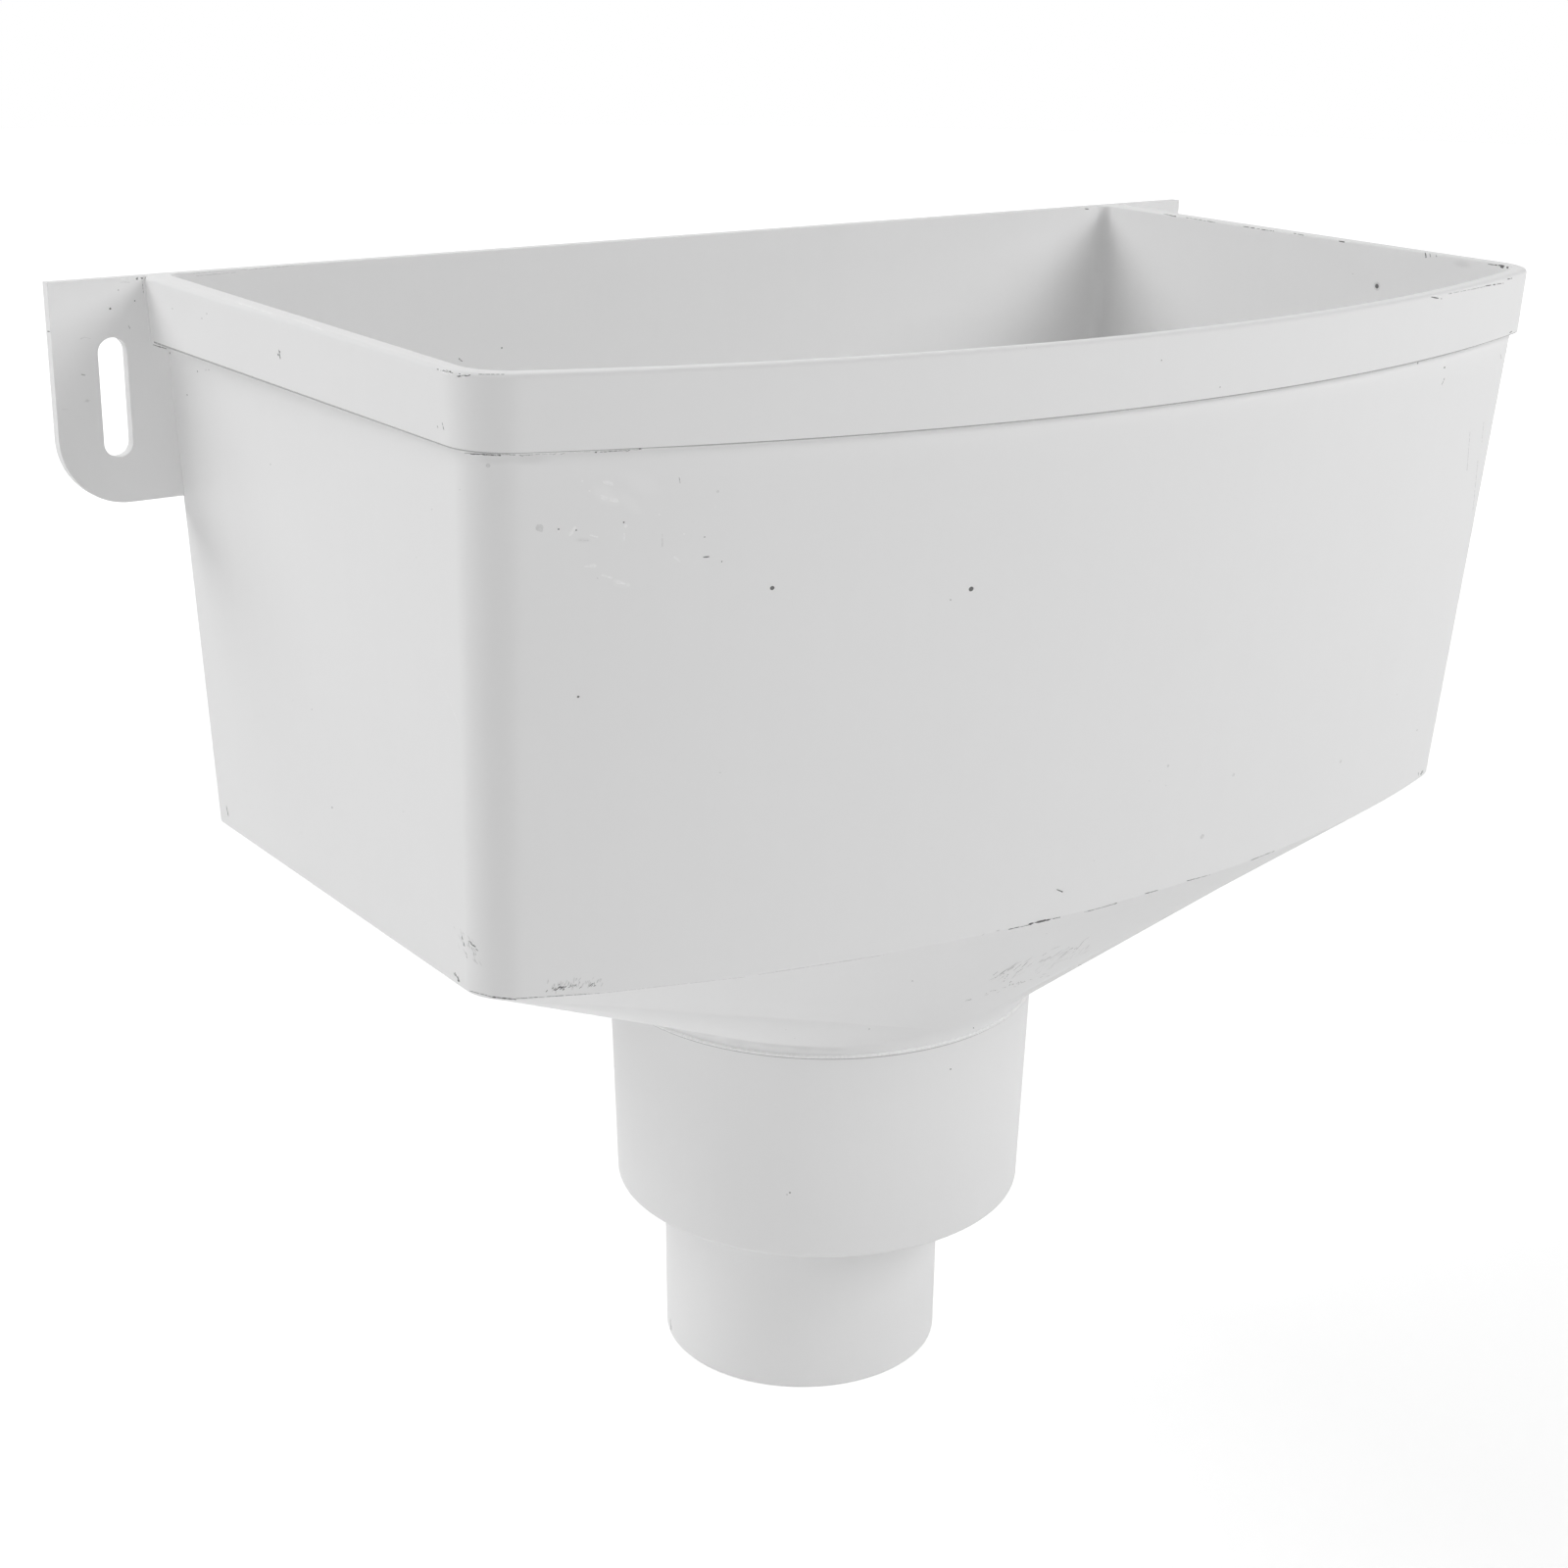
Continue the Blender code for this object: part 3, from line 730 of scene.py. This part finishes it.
class HOPPER_OT_build_shell(bpy.types.Operator):
    """Moulds the basin, the funnel and the two spigots as one closed skin"""

    bl_idname = "hopper.build_shell"
    bl_label = "Basin and Spigots"

    def execute(self, context):
        sizes = context.scene.hopper_sizes
        mesh = bmesh.new()
        mesh.edges.layers.float.new("rounding")
        top = sizes.top()
        under_rim = top - sizes.rim_height
        neck_top = top - sizes.basin_depth - sizes.funnel_drop
        bead_top = neck_top - sizes.neck_height
        step = bead_top - sizes.large_length
        end = step - sizes.small_length
        large, small = sizes.large_axis(), sizes.small_axis()
        neck = sizes.large_top - sizes.neck_inset

        # Outside, from the rim's top down to the small spigot's end
        rim_top = half_plan(mesh, rim_plan(sizes, 0), lambda y: top)
        rim_bottom = half_plan(mesh, rim_plan(sizes, sizes.rim_draft), lambda y: under_rim)
        outer = wall_wires(mesh, sizes, under_rim - sizes.overhang_slope, 0, 0, 0)
        skin(mesh, [rim_top, rim_bottom, *outer])
        rings = [
            half_ring(mesh, neck, large, neck_top),
            half_ring(mesh, neck, large, bead_top),
            half_ring(mesh, sizes.large_top, large, bead_top - sizes.bead_height * BEAD_SLOPE),
            half_ring(mesh, sizes.large_top, large, bead_top - sizes.bead_height * BEAD_FACE),
            half_ring(mesh, neck, large, bead_top - sizes.bead_height),
            half_ring(mesh, sizes.large_end, large, step),
            half_ring(mesh, sizes.small_top, small, step),
            half_ring(mesh, sizes.small_end, small, end),
        ]
        funnel(mesh, outer[-1], rings[0])
        skin(mesh, rings)

        # Inside, from the rim's top down the bores, and the faces that close the two skins
        above = -sizes.rim_height / (sizes.basin_depth - sizes.rim_height)
        inner = wall_wires(mesh, sizes, top, above, sizes.basin_wall, sizes.funnel_floor)
        bores = [
            half_ring(mesh, neck - sizes.large_wall, large, neck_top + sizes.funnel_floor),
            half_ring(mesh, sizes.large_end - sizes.large_wall, large, step + sizes.step_floor),
            half_ring(mesh, sizes.small_top - sizes.small_wall, small, step + sizes.step_floor),
            half_ring(mesh, sizes.small_end - sizes.small_wall, small, end),
        ]
        skin(mesh, [rim_top, *inner])
        funnel(mesh, inner[-1], bores[0])
        skin(mesh, [*bores, rings[-1]])

        neck_edge, *_, step_edge, _, small_edge = rings
        _, ledge_edge, _, bore_edge = bores
        mark_round(mesh, rim_top, sizes.edge_round * RIM_TOP_ROUND)
        mark_round(mesh, inner[0], sizes.edge_round * RIM_INNER_ROUND)
        mark_round(mesh, rim_bottom, sizes.edge_round * RIM_LOWER_ROUND)
        mark_round(mesh, outer[-1], sizes.edge_round * BOTTOM_ROUND)
        mark_round(mesh, neck_edge, sizes.neck_round)
        mark_round(mesh, step_edge, sizes.end_round * STEP_ROUND)
        mark_round(mesh, small_edge, sizes.end_round * SMALL_END_ROUND)
        mark_round(mesh, ledge_edge, sizes.end_round * LEDGE_ROUND)
        mark_round(mesh, bore_edge, sizes.end_round * SMALL_BORE_ROUND)
        add_left_half(mesh)
        round_marked(mesh)
        piece = new_piece(SHELL, mesh)
        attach(piece, "root")
        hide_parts(NODE)
        return {"FINISHED"}


class HOPPER_OT_join_ears(bpy.types.Operator):
    """Makes the two slotted fixing ears and joins them to the shell"""

    bl_idname = "hopper.join_ears"
    bl_label = "Fixing Ears"

    def execute(self, context):
        sizes = context.scene.hopper_sizes
        shell = bpy.data.objects[SHELL]
        top = sizes.top()
        inner = sizes.rim_width_back / 2 - sizes.rim_draft - sizes.overhang_back - 2 * sizes.basin_wall
        outer = sizes.plate_width() / 2
        bottom = top - sizes.ear_height

        mesh = bmesh.new()
        outward_down = Vector((1, 0, -1))
        edges = [
            edge
            for edge in box(mesh, (inner, -sizes.plate_thickness, bottom), (outer, 0, top))
            if runs_along_y(edge)
        ]
        corner = max(edges, key=lambda edge: edge.verts[0].co.dot(outward_down))
        round_edges(mesh, [corner], sizes.ear_corner, EAR_CORNER_STEPS)
        add_left_half(mesh)
        ears = new_piece("ears", mesh)

        mesh = bmesh.new()
        middle = Vector((sizes.slot_place(), 0, 0))
        reach = Vector((sizes.slot_width / 2, CUTTER_REACH, sizes.slot_length / 2))
        edges = [edge for edge in box(mesh, middle - reach, middle + reach) if runs_along_y(edge)]
        round_edges(mesh, edges, reach.x * CUTTER_ROUND, SLOT_END_STEPS)
        add_left_half(mesh)
        combine(ears, new_piece("slots", mesh), "DIFFERENCE")

        edging = ears.modifiers.new("Edging", "BEVEL")
        edging.width = sizes.edge_round * EAR_ROUND
        edging.segments = EAR_EDGE_STEPS
        edging.limit_method = "ANGLE"
        edging.angle_limit = math.radians(EAR_EDGE_ANGLE)
        settle(ears)
        combine(shell, ears, "UNION")

        shell.data.shade_smooth()
        shell.data.set_sharp_from_angle(angle=math.radians(SHARP_ANGLE))
        weights = shell.modifiers.new("Even shading", "WEIGHTED_NORMAL")
        weights.keep_sharp = True
        return {"FINISHED"}


def band(mesh, wires):
    """A thin closed band round the hopper from its half wires."""
    skin(mesh, [*wires, wires[0]])


class HOPPER_OT_add_painted_lines(bpy.types.Operator):
    """Draws the lines of painted shade under the rim and the bead, and the painted highlight on the bead's
    face
    """

    bl_idname = "hopper.add_seams"
    bl_label = "Rim and Neck Lines"

    def execute(self, context):
        sizes = context.scene.hopper_sizes
        grime = bmesh.new()
        # Painted shade under the rim's lower edge
        self.add_rim_shade_line(grime, sizes)

        centre = sizes.large_axis()
        neck = sizes.large_top - sizes.neck_inset
        bead_top = sizes.top() - sizes.basin_depth - sizes.funnel_drop - sizes.neck_height
        # The band of painted shade under the bead
        ring_top = bead_top - sizes.bead_height - SHADE_RING_TOP
        ring_end = bead_top - sizes.bead_height - SHADE_RING_END
        ring = (
            (neck + RING_PROUD, ring_top),
            (neck + RING_PROUD, ring_end),
            (neck - LINE_SUNK, ring_end),
            (neck - LINE_SUNK, ring_top),
        )
        band(grime, [half_ring(grime, radius, centre, height) for radius, height in ring])

        # The bead's slope and upright face, painted pale as a highlight
        face_end = bead_top - sizes.bead_height * BEAD_FACE
        bead = (
            (neck + RING_PROUD, bead_top + LINE_PROUD),
            (sizes.large_top + LINE_PROUD, bead_top - sizes.bead_height * BEAD_SLOPE),
            (sizes.large_top + LINE_PROUD, face_end),
            (sizes.large_top - LINE_SUNK, face_end),
            (neck - LINE_SUNK, bead_top - LINE_SUNK),
        )
        highlight_mesh = bmesh.new()
        band(highlight_mesh, [half_ring(highlight_mesh, radius, centre, height) for radius, height in bead])
        for name, mesh in (("grime_lines", grime), ("worn_line", highlight_mesh)):
            add_left_half(mesh)
            piece = new_piece(name, mesh)
            piece.data.shade_smooth()
            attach(piece, "root")
        return {"FINISHED"}

    def add_rim_shade_line(self, mesh, sizes):
        """A band of painted shade that follows the rounded lower edge of the rim."""
        under_rim = sizes.top() - sizes.rim_height
        radius = sizes.edge_round * RIM_LOWER_ROUND
        places = [(angle, LINE_PROUD) for angle in SHADE_LINE_ANGLES]
        places += [(angle, -LINE_SUNK) for angle in (SHADE_LINE_ANGLES[-1], SHADE_LINE_ANGLES[0])]
        wires = []
        for angle, proud in places:
            turn = math.radians(angle)
            plan = rim_plan(sizes, sizes.rim_draft + radius - (radius + proud) * math.cos(turn))
            plan["back_y"] = -sizes.plate_thickness / 2
            height = under_rim + radius - (radius + proud) * math.sin(turn)
            wires.append(half_plan(mesh, plan, lambda y, height=height: height))
        band(mesh, wires)


class PhotoRays:
    """Lines of sight of the photograph, which find where a mark lies on the shell."""

    def __init__(self, shell, lens):
        graph = bpy.context.evaluated_depsgraph_get()
        self.tree = BVHTree.FromObject(shell, graph)
        self.axes = camera_axes()
        self.focal = lens / SENSOR_WIDTH * PHOTO_SIZE

    def hit(self, x, y):
        """Where a pixel's line of sight meets the shell, and the shell's outward direction there."""
        right, up, back = self.axes
        middle = PHOTO_SIZE / 2
        ray = right * ((x - middle) / self.focal) + up * ((middle - y) / self.focal) - back
        place, normal, _, _ = self.tree.ray_cast(Vector(CAMERA_PLACE), ray.normalized())
        return place, normal


def camera_axes():
    """The camera's right, up and backward directions."""
    azimuth = math.radians(CAMERA_AZIMUTH)
    elevation = math.radians(CAMERA_ELEVATION)
    roll = math.radians(CAMERA_ROLL)
    flat = math.cos(elevation)
    back = Vector((-math.sin(azimuth) * flat, -math.cos(azimuth) * flat, math.sin(elevation)))
    level = Vector((math.cos(azimuth), -math.sin(azimuth), 0))
    upright = back.cross(level)
    right = level * math.cos(roll) + upright * math.sin(roll)
    up = upright * math.cos(roll) - level * math.sin(roll)
    return right, up, back


def add_fleck(mesh, place, normal, along, long, wide, proud):
    """A flat lozenge that lies half sunk in the surface, rounder where it is wide."""
    along = (along - normal * along.dot(normal)).normalized()
    across = normal.cross(along)
    turn = Matrix((along, across, normal)).transposed().to_4x4()
    size = Matrix.Diagonal((long / 2, wide / 2, proud, 1))
    bmesh.ops.create_icosphere(
        mesh,
        subdivisions=2 if wide > ROUND_FLECK else 1,
        radius=1,
        matrix=Matrix.Translation(place) @ turn @ size,
    )


def by_place(place):
    """A sorting key, because joining pieces leaves the faces in another order on every run."""
    return [round(part, 6) for part in place]


class HOPPER_OT_add_marks(bpy.types.Operator):
    """Lays the specks, nicks and scratches of a handled part on the shell, with painted shade under the rim
    and painted highlights along edges
    """

    bl_idname = "hopper.add_marks"
    bl_label = "Handling Marks"

    def execute(self, context):
        shell = bpy.data.objects[SHELL]
        rays = PhotoRays(shell, context.scene.hopper_stage.lens)
        chance = random.Random(SPECK_SEED)
        for name, (spots, proud, lines, patches) in MARKS.items():
            mesh = bmesh.new()
            self.add_spots(mesh, rays, spots, proud)
            self.add_lines(mesh, rays, lines, chance)
            self.add_patches(mesh, rays, patches, chance)
            if name == "dark_marks":
                self.add_specks(mesh, shell, chance)
            piece = new_piece(name, mesh)
            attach(piece, "root")
        return {"FINISHED"}

    def add_spots(self, mesh, rays, spots, proud):
        for x, y, across in spots:
            place, normal = rays.hit(x, y)
            if place is not None:
                long = across / 1000
                add_fleck(mesh, place, normal, Vector(SPOT_ALONG), long, long / SPOT_STRETCH, proud)

    def add_stroke(self, mesh, rays, start, stop, wide):
        """One fleck between two pixels, where both lie on the same face of the moulding."""
        first, _ = rays.hit(*start)
        second, _ = rays.hit(*stop)
        middle, normal = rays.hit((start[0] + stop[0]) / 2, (start[1] + stop[1]) / 2)
        if None not in (first, second, middle) and (second - first).length < LONGEST_STROKE:
            along = second - first
            add_fleck(mesh, middle, normal, along, along.length + wide, wide, STROKE_PROUD)

    def add_lines(self, mesh, rays, lines, chance):
        """Each line is a run of overlapping strokes of uneven length and width, with small gaps."""
        for x0, y0, x1, y1, wide in lines:
            pixels = math.hypot(x1 - x0, y1 - y0)
            run = ((x1 - x0) / pixels, (y1 - y0) / pixels)
            stray = wide / 2 if pixels > STRAIGHT_LINE else 0
            done = 0
            while done < pixels:
                piece = min(pixels - done, SHORTEST_STROKE + STROKE_RANGE * chance.random() ** 2)
                slip = stray * (chance.random() - 0.5)
                start = (x0 + run[0] * done - run[1] * slip, y0 + run[1] * done + run[0] * slip)
                stop = (start[0] + run[0] * piece, start[1] + run[1] * piece)
                width = wide / 1000 * (0.5 + 0.5 * chance.random())
                self.add_stroke(mesh, rays, start, stop, width)
                done += piece * (0.75 + 0.5 * chance.random())

    def add_patches(self, mesh, rays, patches, chance):
        """Each patch is a loose crowd of short strokes that run much the same way."""
        for x0, y0, x1, y1, spread, across, down, count, wide in patches:
            for _ in range(count):
                part = chance.random()
                x = x0 + (x1 - x0) * part + chance.gauss(0, 0.3) * spread
                y = y0 + (y1 - y0) * part + chance.gauss(0, 0.5) * spread
                size = 0.4 + 0.8 * chance.random()
                turn = chance.gauss(0, 0.12)
                run = ((across - down * turn) * size / 2, (down + across * turn) * size / 2)
                width = wide / 1000 * (0.6 + 0.5 * chance.random())
                start = (x - run[0], y - run[1])
                stop = (x + run[0], y + run[1])
                self.add_stroke(mesh, rays, start, stop, width)

    def add_specks(self, mesh, shell, chance):
        """Tiny specks, scattered over the whole skin in proportion to its area."""
        smallest, largest = SPECK_WIDTHS
        faces = sorted(shell.data.polygons, key=lambda face: by_place(face.center))
        picks = chance.choices(faces, weights=[face.area for face in faces], k=LOOSE_SPECKS)
        for face in picks:
            corners = sorted((shell.data.vertices[i].co for i in face.vertices), key=by_place)
            weights = [chance.random() + 0.01 for _ in corners]
            place = sum((c * w for c, w in zip(corners, weights)), Vector()) / sum(weights)
            wide = smallest + (largest - smallest) * chance.random() ** 3
            along = Vector((chance.random() - 0.5, chance.random() - 0.5, chance.random() + 0.1))
            add_fleck(mesh, place, face.normal, along, wide * SPECK_STRETCH, wide, SPECK_PROUD)


def add_node(owner, kind, inputs=(), **settings):
    """A shader node with its settings, and its inputs set or linked."""
    node = owner.node_tree.nodes.new(kind)
    for name, value in settings.items():
        setattr(node, name, value)
    for name, value in dict(inputs).items():
        if isinstance(value, bpy.types.NodeSocket):
            owner.node_tree.links.new(value, node.inputs[name])
        else:
            node.inputs[name].default_value = value
    return node


def maths(owner, operation, *values):
    """The result of one sum."""
    return add_node(owner, "ShaderNodeMath", enumerate(values), operation=operation).outputs[0]


def map_range(owner, value, start, stop, to_start, to_stop, **settings):
    """A value carried over from one range to another."""
    ends = {"From Min": start, "From Max": stop, "To Min": to_start, "To Max": to_stop}
    return add_node(owner, "ShaderNodeMapRange", {"Value": value, **ends}, **settings).outputs["Result"]


def noise(owner, place, scale, detail, roughness=0.5):
    inputs = {"Vector": place, "Scale": scale, "Detail": detail, "Roughness": roughness}
    return add_node(owner, "ShaderNodeTexNoise", inputs).outputs["Fac"]


def object_place(owner):
    return add_node(owner, "ShaderNodeTexCoord").outputs["Object"]


def distance(owner, place):
    """How far a place is from its origin."""
    return add_node(owner, "ShaderNodeVectorMath", {0: place}, operation="LENGTH").outputs["Value"]


def tinted(owner, tint, tone):
    """A colour made paler or darker by a tone."""
    scaled = add_node(owner, "ShaderNodeVectorMath", {0: tuple(tint), "Scale": tone}, operation="SCALE")
    return scaled.outputs["Vector"]


def new_material(name):
    material = bpy.data.materials.new(name)
    material.use_nodes = True
    return material, material.node_tree.nodes["Principled BSDF"], material.node_tree.links


def soft_patch_frame(rays, x0, y0, x1, y1):
    """Place, turn and half length of a smudge between two pixels."""
    first, _ = rays.hit(x0, y0)
    second, _ = rays.hit(x1, y1)
    middle, normal = rays.hit((x0 + x1) / 2, (y0 + y1) / 2)
    along = (second - first).normalized()
    across = normal.cross(along).normalized()
    turn = Matrix((along, across, along.cross(across))).transposed().to_euler()
    return middle, turn, (second - first).length / 2


def smudged_and_shaded(material, place, tone, rays):
    """The tone with every soft-edged patch multiplied in: smudges, and painted shade over the neck and under
    the rim.
    """
    for x0, y0, x1, y1, wide, deep, dark in SMUDGES_AND_SHADE:
        middle, turn, reach = soft_patch_frame(rays, x0, y0, x1, y1)
        size = (reach + wide / 1000, wide / 1000, deep / 1000)
        patch_frame = {"Vector": place, "Location": middle, "Rotation": turn, "Scale": size}
        local = add_node(material, "ShaderNodeMapping", patch_frame, vector_type="TEXTURE")
        away = distance(material, local.outputs["Vector"])
        patch = map_range(material, away, SOFT_PATCH_CORE, 1, 1 - dark, 1, interpolation_type="SMOOTHSTEP")
        tone = maths(material, "MULTIPLY", tone, patch)
    return tone


def moulded_plastic(finish, rays):
    """White plastic with faint clouds, upright flow lines, smudges, painted shade over the neck and under the
    rim, and a fine uneven skin.
    """
    material, shader, links = new_material("white_plastic")
    place = object_place(material)
    clouds = noise(material, place, 14, 4, 0.55)
    stretched = add_node(material, "ShaderNodeMapping", {"Vector": place, "Scale": (260, 260, 9)})
    flow = noise(material, stretched.outputs["Vector"], 1, 3)
    mixed = maths(material, "MULTIPLY_ADD", flow, 0.25, clouds)
    tone = map_range(material, mixed, 0.35, 0.9, 1 - finish.mottle, 1)
    # Smudges, and painted shade in the neck's hollow and under the rim
    tone = smudged_and_shaded(material, place, tone, rays)
    links.new(tinted(material, finish.plastic, tone), shader.inputs["Base Color"])

    satin, dull = finish.roughness - ROUGHNESS_SPREAD, finish.roughness + ROUGHNESS_SPREAD
    links.new(map_range(material, clouds, 0.3, 0.7, satin, dull), shader.inputs["Roughness"])

    waves, pores = noise(material, place, 60, 2), noise(material, place, 900, 2)
    heights = maths(material, "MULTIPLY_ADD", waves, 3, pores)
    bump = add_node(
        material, "ShaderNodeBump", {"Height": heights, "Distance": finish.grain, "Strength": 1}
    )
    links.new(bump.outputs["Normal"], shader.inputs["Normal"])
    shader.inputs["IOR"].default_value = 1.46
    shader.inputs["Specular IOR Level"].default_value = 0.35
    return material


def mark_material(name, tint):
    """A dull colour for marks, painted shade and painted highlights, uneven in tone."""
    material, shader, links = new_material(name)
    blotches = noise(material, object_place(material), 1400, 2)
    tone = map_range(material, blotches, 0.3, 0.7, 0.9, 1)
    links.new(tinted(material, tint, tone), shader.inputs["Base Color"])
    shader.inputs["Roughness"].default_value = 0.7
    return material


class HOPPER_OT_finish_plastic(bpy.types.Operator):
    """Gives the shell its plastic, and the marks, painted shade and painted highlights their tones"""

    bl_idname = "hopper.finish_plastic"
    bl_label = "Plastic and Marks"

    def execute(self, context):
        finish = context.scene.hopper_finish
        rays = PhotoRays(bpy.data.objects[SHELL], context.scene.hopper_stage.lens)
        materials = {
            SHELL: moulded_plastic(finish, rays),
            # The dark and grey marks also hold painted shade under the rim's front left
            "dark_marks": mark_material("grit", finish.dark_mark_and_shade),
            "grey_marks": mark_material("rub", finish.grey_mark_and_shade),
            "soft_marks": mark_material("smudge", finish.soft_mark),
            # The pale marks also hold painted highlights along edges and on the rim's side
            "pale_marks": mark_material("scratch", finish.pale_mark_and_highlight),
            # Painted shade under the rim and the bead
            "grime_lines": mark_material("grime", finish.grime),
            # Painted highlight on the bead
            "worn_line": mark_material("worn_edge", finish.pale_mark_and_highlight),
        }
        for name, material in materials.items():
            data = bpy.data.objects[name].data
            data.materials.clear()
            data.materials.append(material)
        return {"FINISHED"}


def floor_material(stage):
    """A pale floor that shows the hopper's shadow and melts into the white all round."""
    material, shader, links = new_material("pale_floor")
    shader.inputs["Base Color"].default_value = (*stage.floor, 1)
    shader.inputs["Roughness"].default_value = 0.9
    rays = add_node(material, "ShaderNodeLightPath").outputs
    seen = maths(material, "MAXIMUM", rays["Is Camera Ray"], rays["Is Glossy Ray"])
    seen = maths(material, "MAXIMUM", seen, rays["Is Transmission Ray"])
    away = distance(material, object_place(material))
    white = map_range(material, away, FLOOR_GLOW_START, FLOOR_GLOW_END, FLOOR_GLOW_SHARE, 1)
    lift = maths(material, "MULTIPLY_ADD", seen, white, stage.floor_glow)
    glow = add_node(material, "ShaderNodeEmission", {"Color": (1, 1, 1, 1), "Strength": lift})
    both = add_node(
        material, "ShaderNodeAddShader", {0: shader.outputs["BSDF"], 1: glow.outputs["Emission"]}
    )
    side = add_node(material, "ShaderNodeNewGeometry")
    clear = add_node(material, "ShaderNodeBsdfTransparent")
    top_only = add_node(
        material,
        "ShaderNodeMixShader",
        {0: side.outputs["Backfacing"], 1: both.outputs["Shader"], 2: clear.outputs["BSDF"]},
    )
    output = material.node_tree.nodes["Material Output"]
    links.new(top_only.outputs["Shader"], output.inputs["Surface"])
    return material


def add_lamp(name, watts, direction, width):
    """A square softbox that faces the hopper from a direction."""
    data = bpy.data.lights.new(name, "AREA")
    data.shape = "SQUARE"
    data.size = width
    data.energy = watts
    lamp = bpy.data.objects.new(name, data)
    offset = Vector(direction).normalized() * LAMP_DISTANCE
    lamp.location = Vector(LAMP_TARGET) + offset
    lamp.rotation_euler = (-offset).to_track_quat("-Z", "Y").to_euler()
    lamp.visible_camera = False
    bpy.context.scene.collection.objects.link(lamp)


class HOPPER_OT_set_stage(bpy.types.Operator):
    """Sets up the floor, the softboxes, the white surround and the camera"""

    bl_idname = "hopper.set_stage"
    bl_label = "Stage, Lamps and Camera"

    def execute(self, context):
        scene = context.scene
        stage = scene.hopper_stage
        low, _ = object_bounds()

        mesh = bmesh.new()
        bmesh.ops.create_circle(
            mesh,
            cap_ends=True,
            segments=FLOOR_STEPS,
            radius=stage.floor_width / 2,
            matrix=Matrix.Translation((0, FLOOR_MIDDLE_Y, low.z)),
        )
        floor = new_piece("floor", mesh)
        floor.data.materials.append(floor_material(stage))
        floor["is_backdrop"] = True

        for name, (direction, width) in LAMPS.items():
            add_lamp(f"{name}_softbox", getattr(stage, f"{name}_lamp"), direction, width)

        world = bpy.data.worlds.new("white_surround")
        scene.world = world
        world.use_nodes = True
        back = world.node_tree.nodes["Background"]
        back.inputs["Color"].default_value = (1, 1, 1, 1)
        rays = add_node(world, "ShaderNodeLightPath").outputs
        seen = maths(world, "MAXIMUM", rays["Is Camera Ray"], rays["Is Glossy Ray"])
        strength = map_range(world, seen, 0, 1, stage.room_light, 1)
        world.node_tree.links.new(strength, back.inputs["Strength"])

        data = bpy.data.cameras.new("photo_camera")
        data.lens = stage.lens
        data.sensor_width = SENSOR_WIDTH
        data.dof.use_dof = False
        camera = bpy.data.objects.new("photo_camera", data)
        turn = Matrix(camera_axes()).transposed().to_4x4()
        camera.matrix_world = Matrix.Translation(CAMERA_PLACE) @ turn
        scene.collection.objects.link(camera)
        scene.camera = camera
        scene.view_settings.view_transform = "Standard"
        return {"FINISHED"}


class HOPPER_PT_steps(bpy.types.Panel):
    """Lists the steps that build the hopper head"""

    bl_label = "Hopper Head"
    bl_idname = "HOPPER_PT_steps"
    bl_space_type = "VIEW_3D"
    bl_region_type = "UI"
    bl_category = "Hopper"

    def draw(self, context):
        for step in STEPS:
            self.layout.operator(step.bl_idname)
        scene = context.scene
        for group in (scene.hopper_sizes, scene.hopper_finish, scene.hopper_stage):
            column = self.layout.column(align=True)
            for name in group.__annotations__:
                column.prop(group, name)


STEPS = (
    HOPPER_OT_build_shell,
    HOPPER_OT_join_ears,
    HOPPER_OT_add_painted_lines,
    HOPPER_OT_add_marks,
    HOPPER_OT_finish_plastic,
    HOPPER_OT_set_stage,
)
CLASSES = (HopperSizes, HopperFinish, HopperStage, *STEPS, HOPPER_PT_steps)


def register():
    for item in CLASSES:
        bpy.utils.register_class(item)
    bpy.types.Scene.hopper_sizes = bpy.props.PointerProperty(type=HopperSizes)
    bpy.types.Scene.hopper_finish = bpy.props.PointerProperty(type=HopperFinish)
    bpy.types.Scene.hopper_stage = bpy.props.PointerProperty(type=HopperStage)


def unregister():
    del bpy.types.Scene.hopper_stage
    del bpy.types.Scene.hopper_finish
    del bpy.types.Scene.hopper_sizes
    for item in reversed(CLASSES):
        bpy.utils.unregister_class(item)


def corners(bounds):
    return [list(corner) for corner in bounds]


def main():
    cad_box = corners(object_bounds())
    register()
    bpy.ops.hopper.build_shell()
    bpy.ops.hopper.join_ears()
    bpy.ops.hopper.add_seams()
    bpy.ops.hopper.add_marks()
    bpy.ops.hopper.finish_plastic()
    bpy.ops.hopper.set_stage()
    {"cad": cad_box, "visual": corners(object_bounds())}


if __name__ == "__main__":
    main()
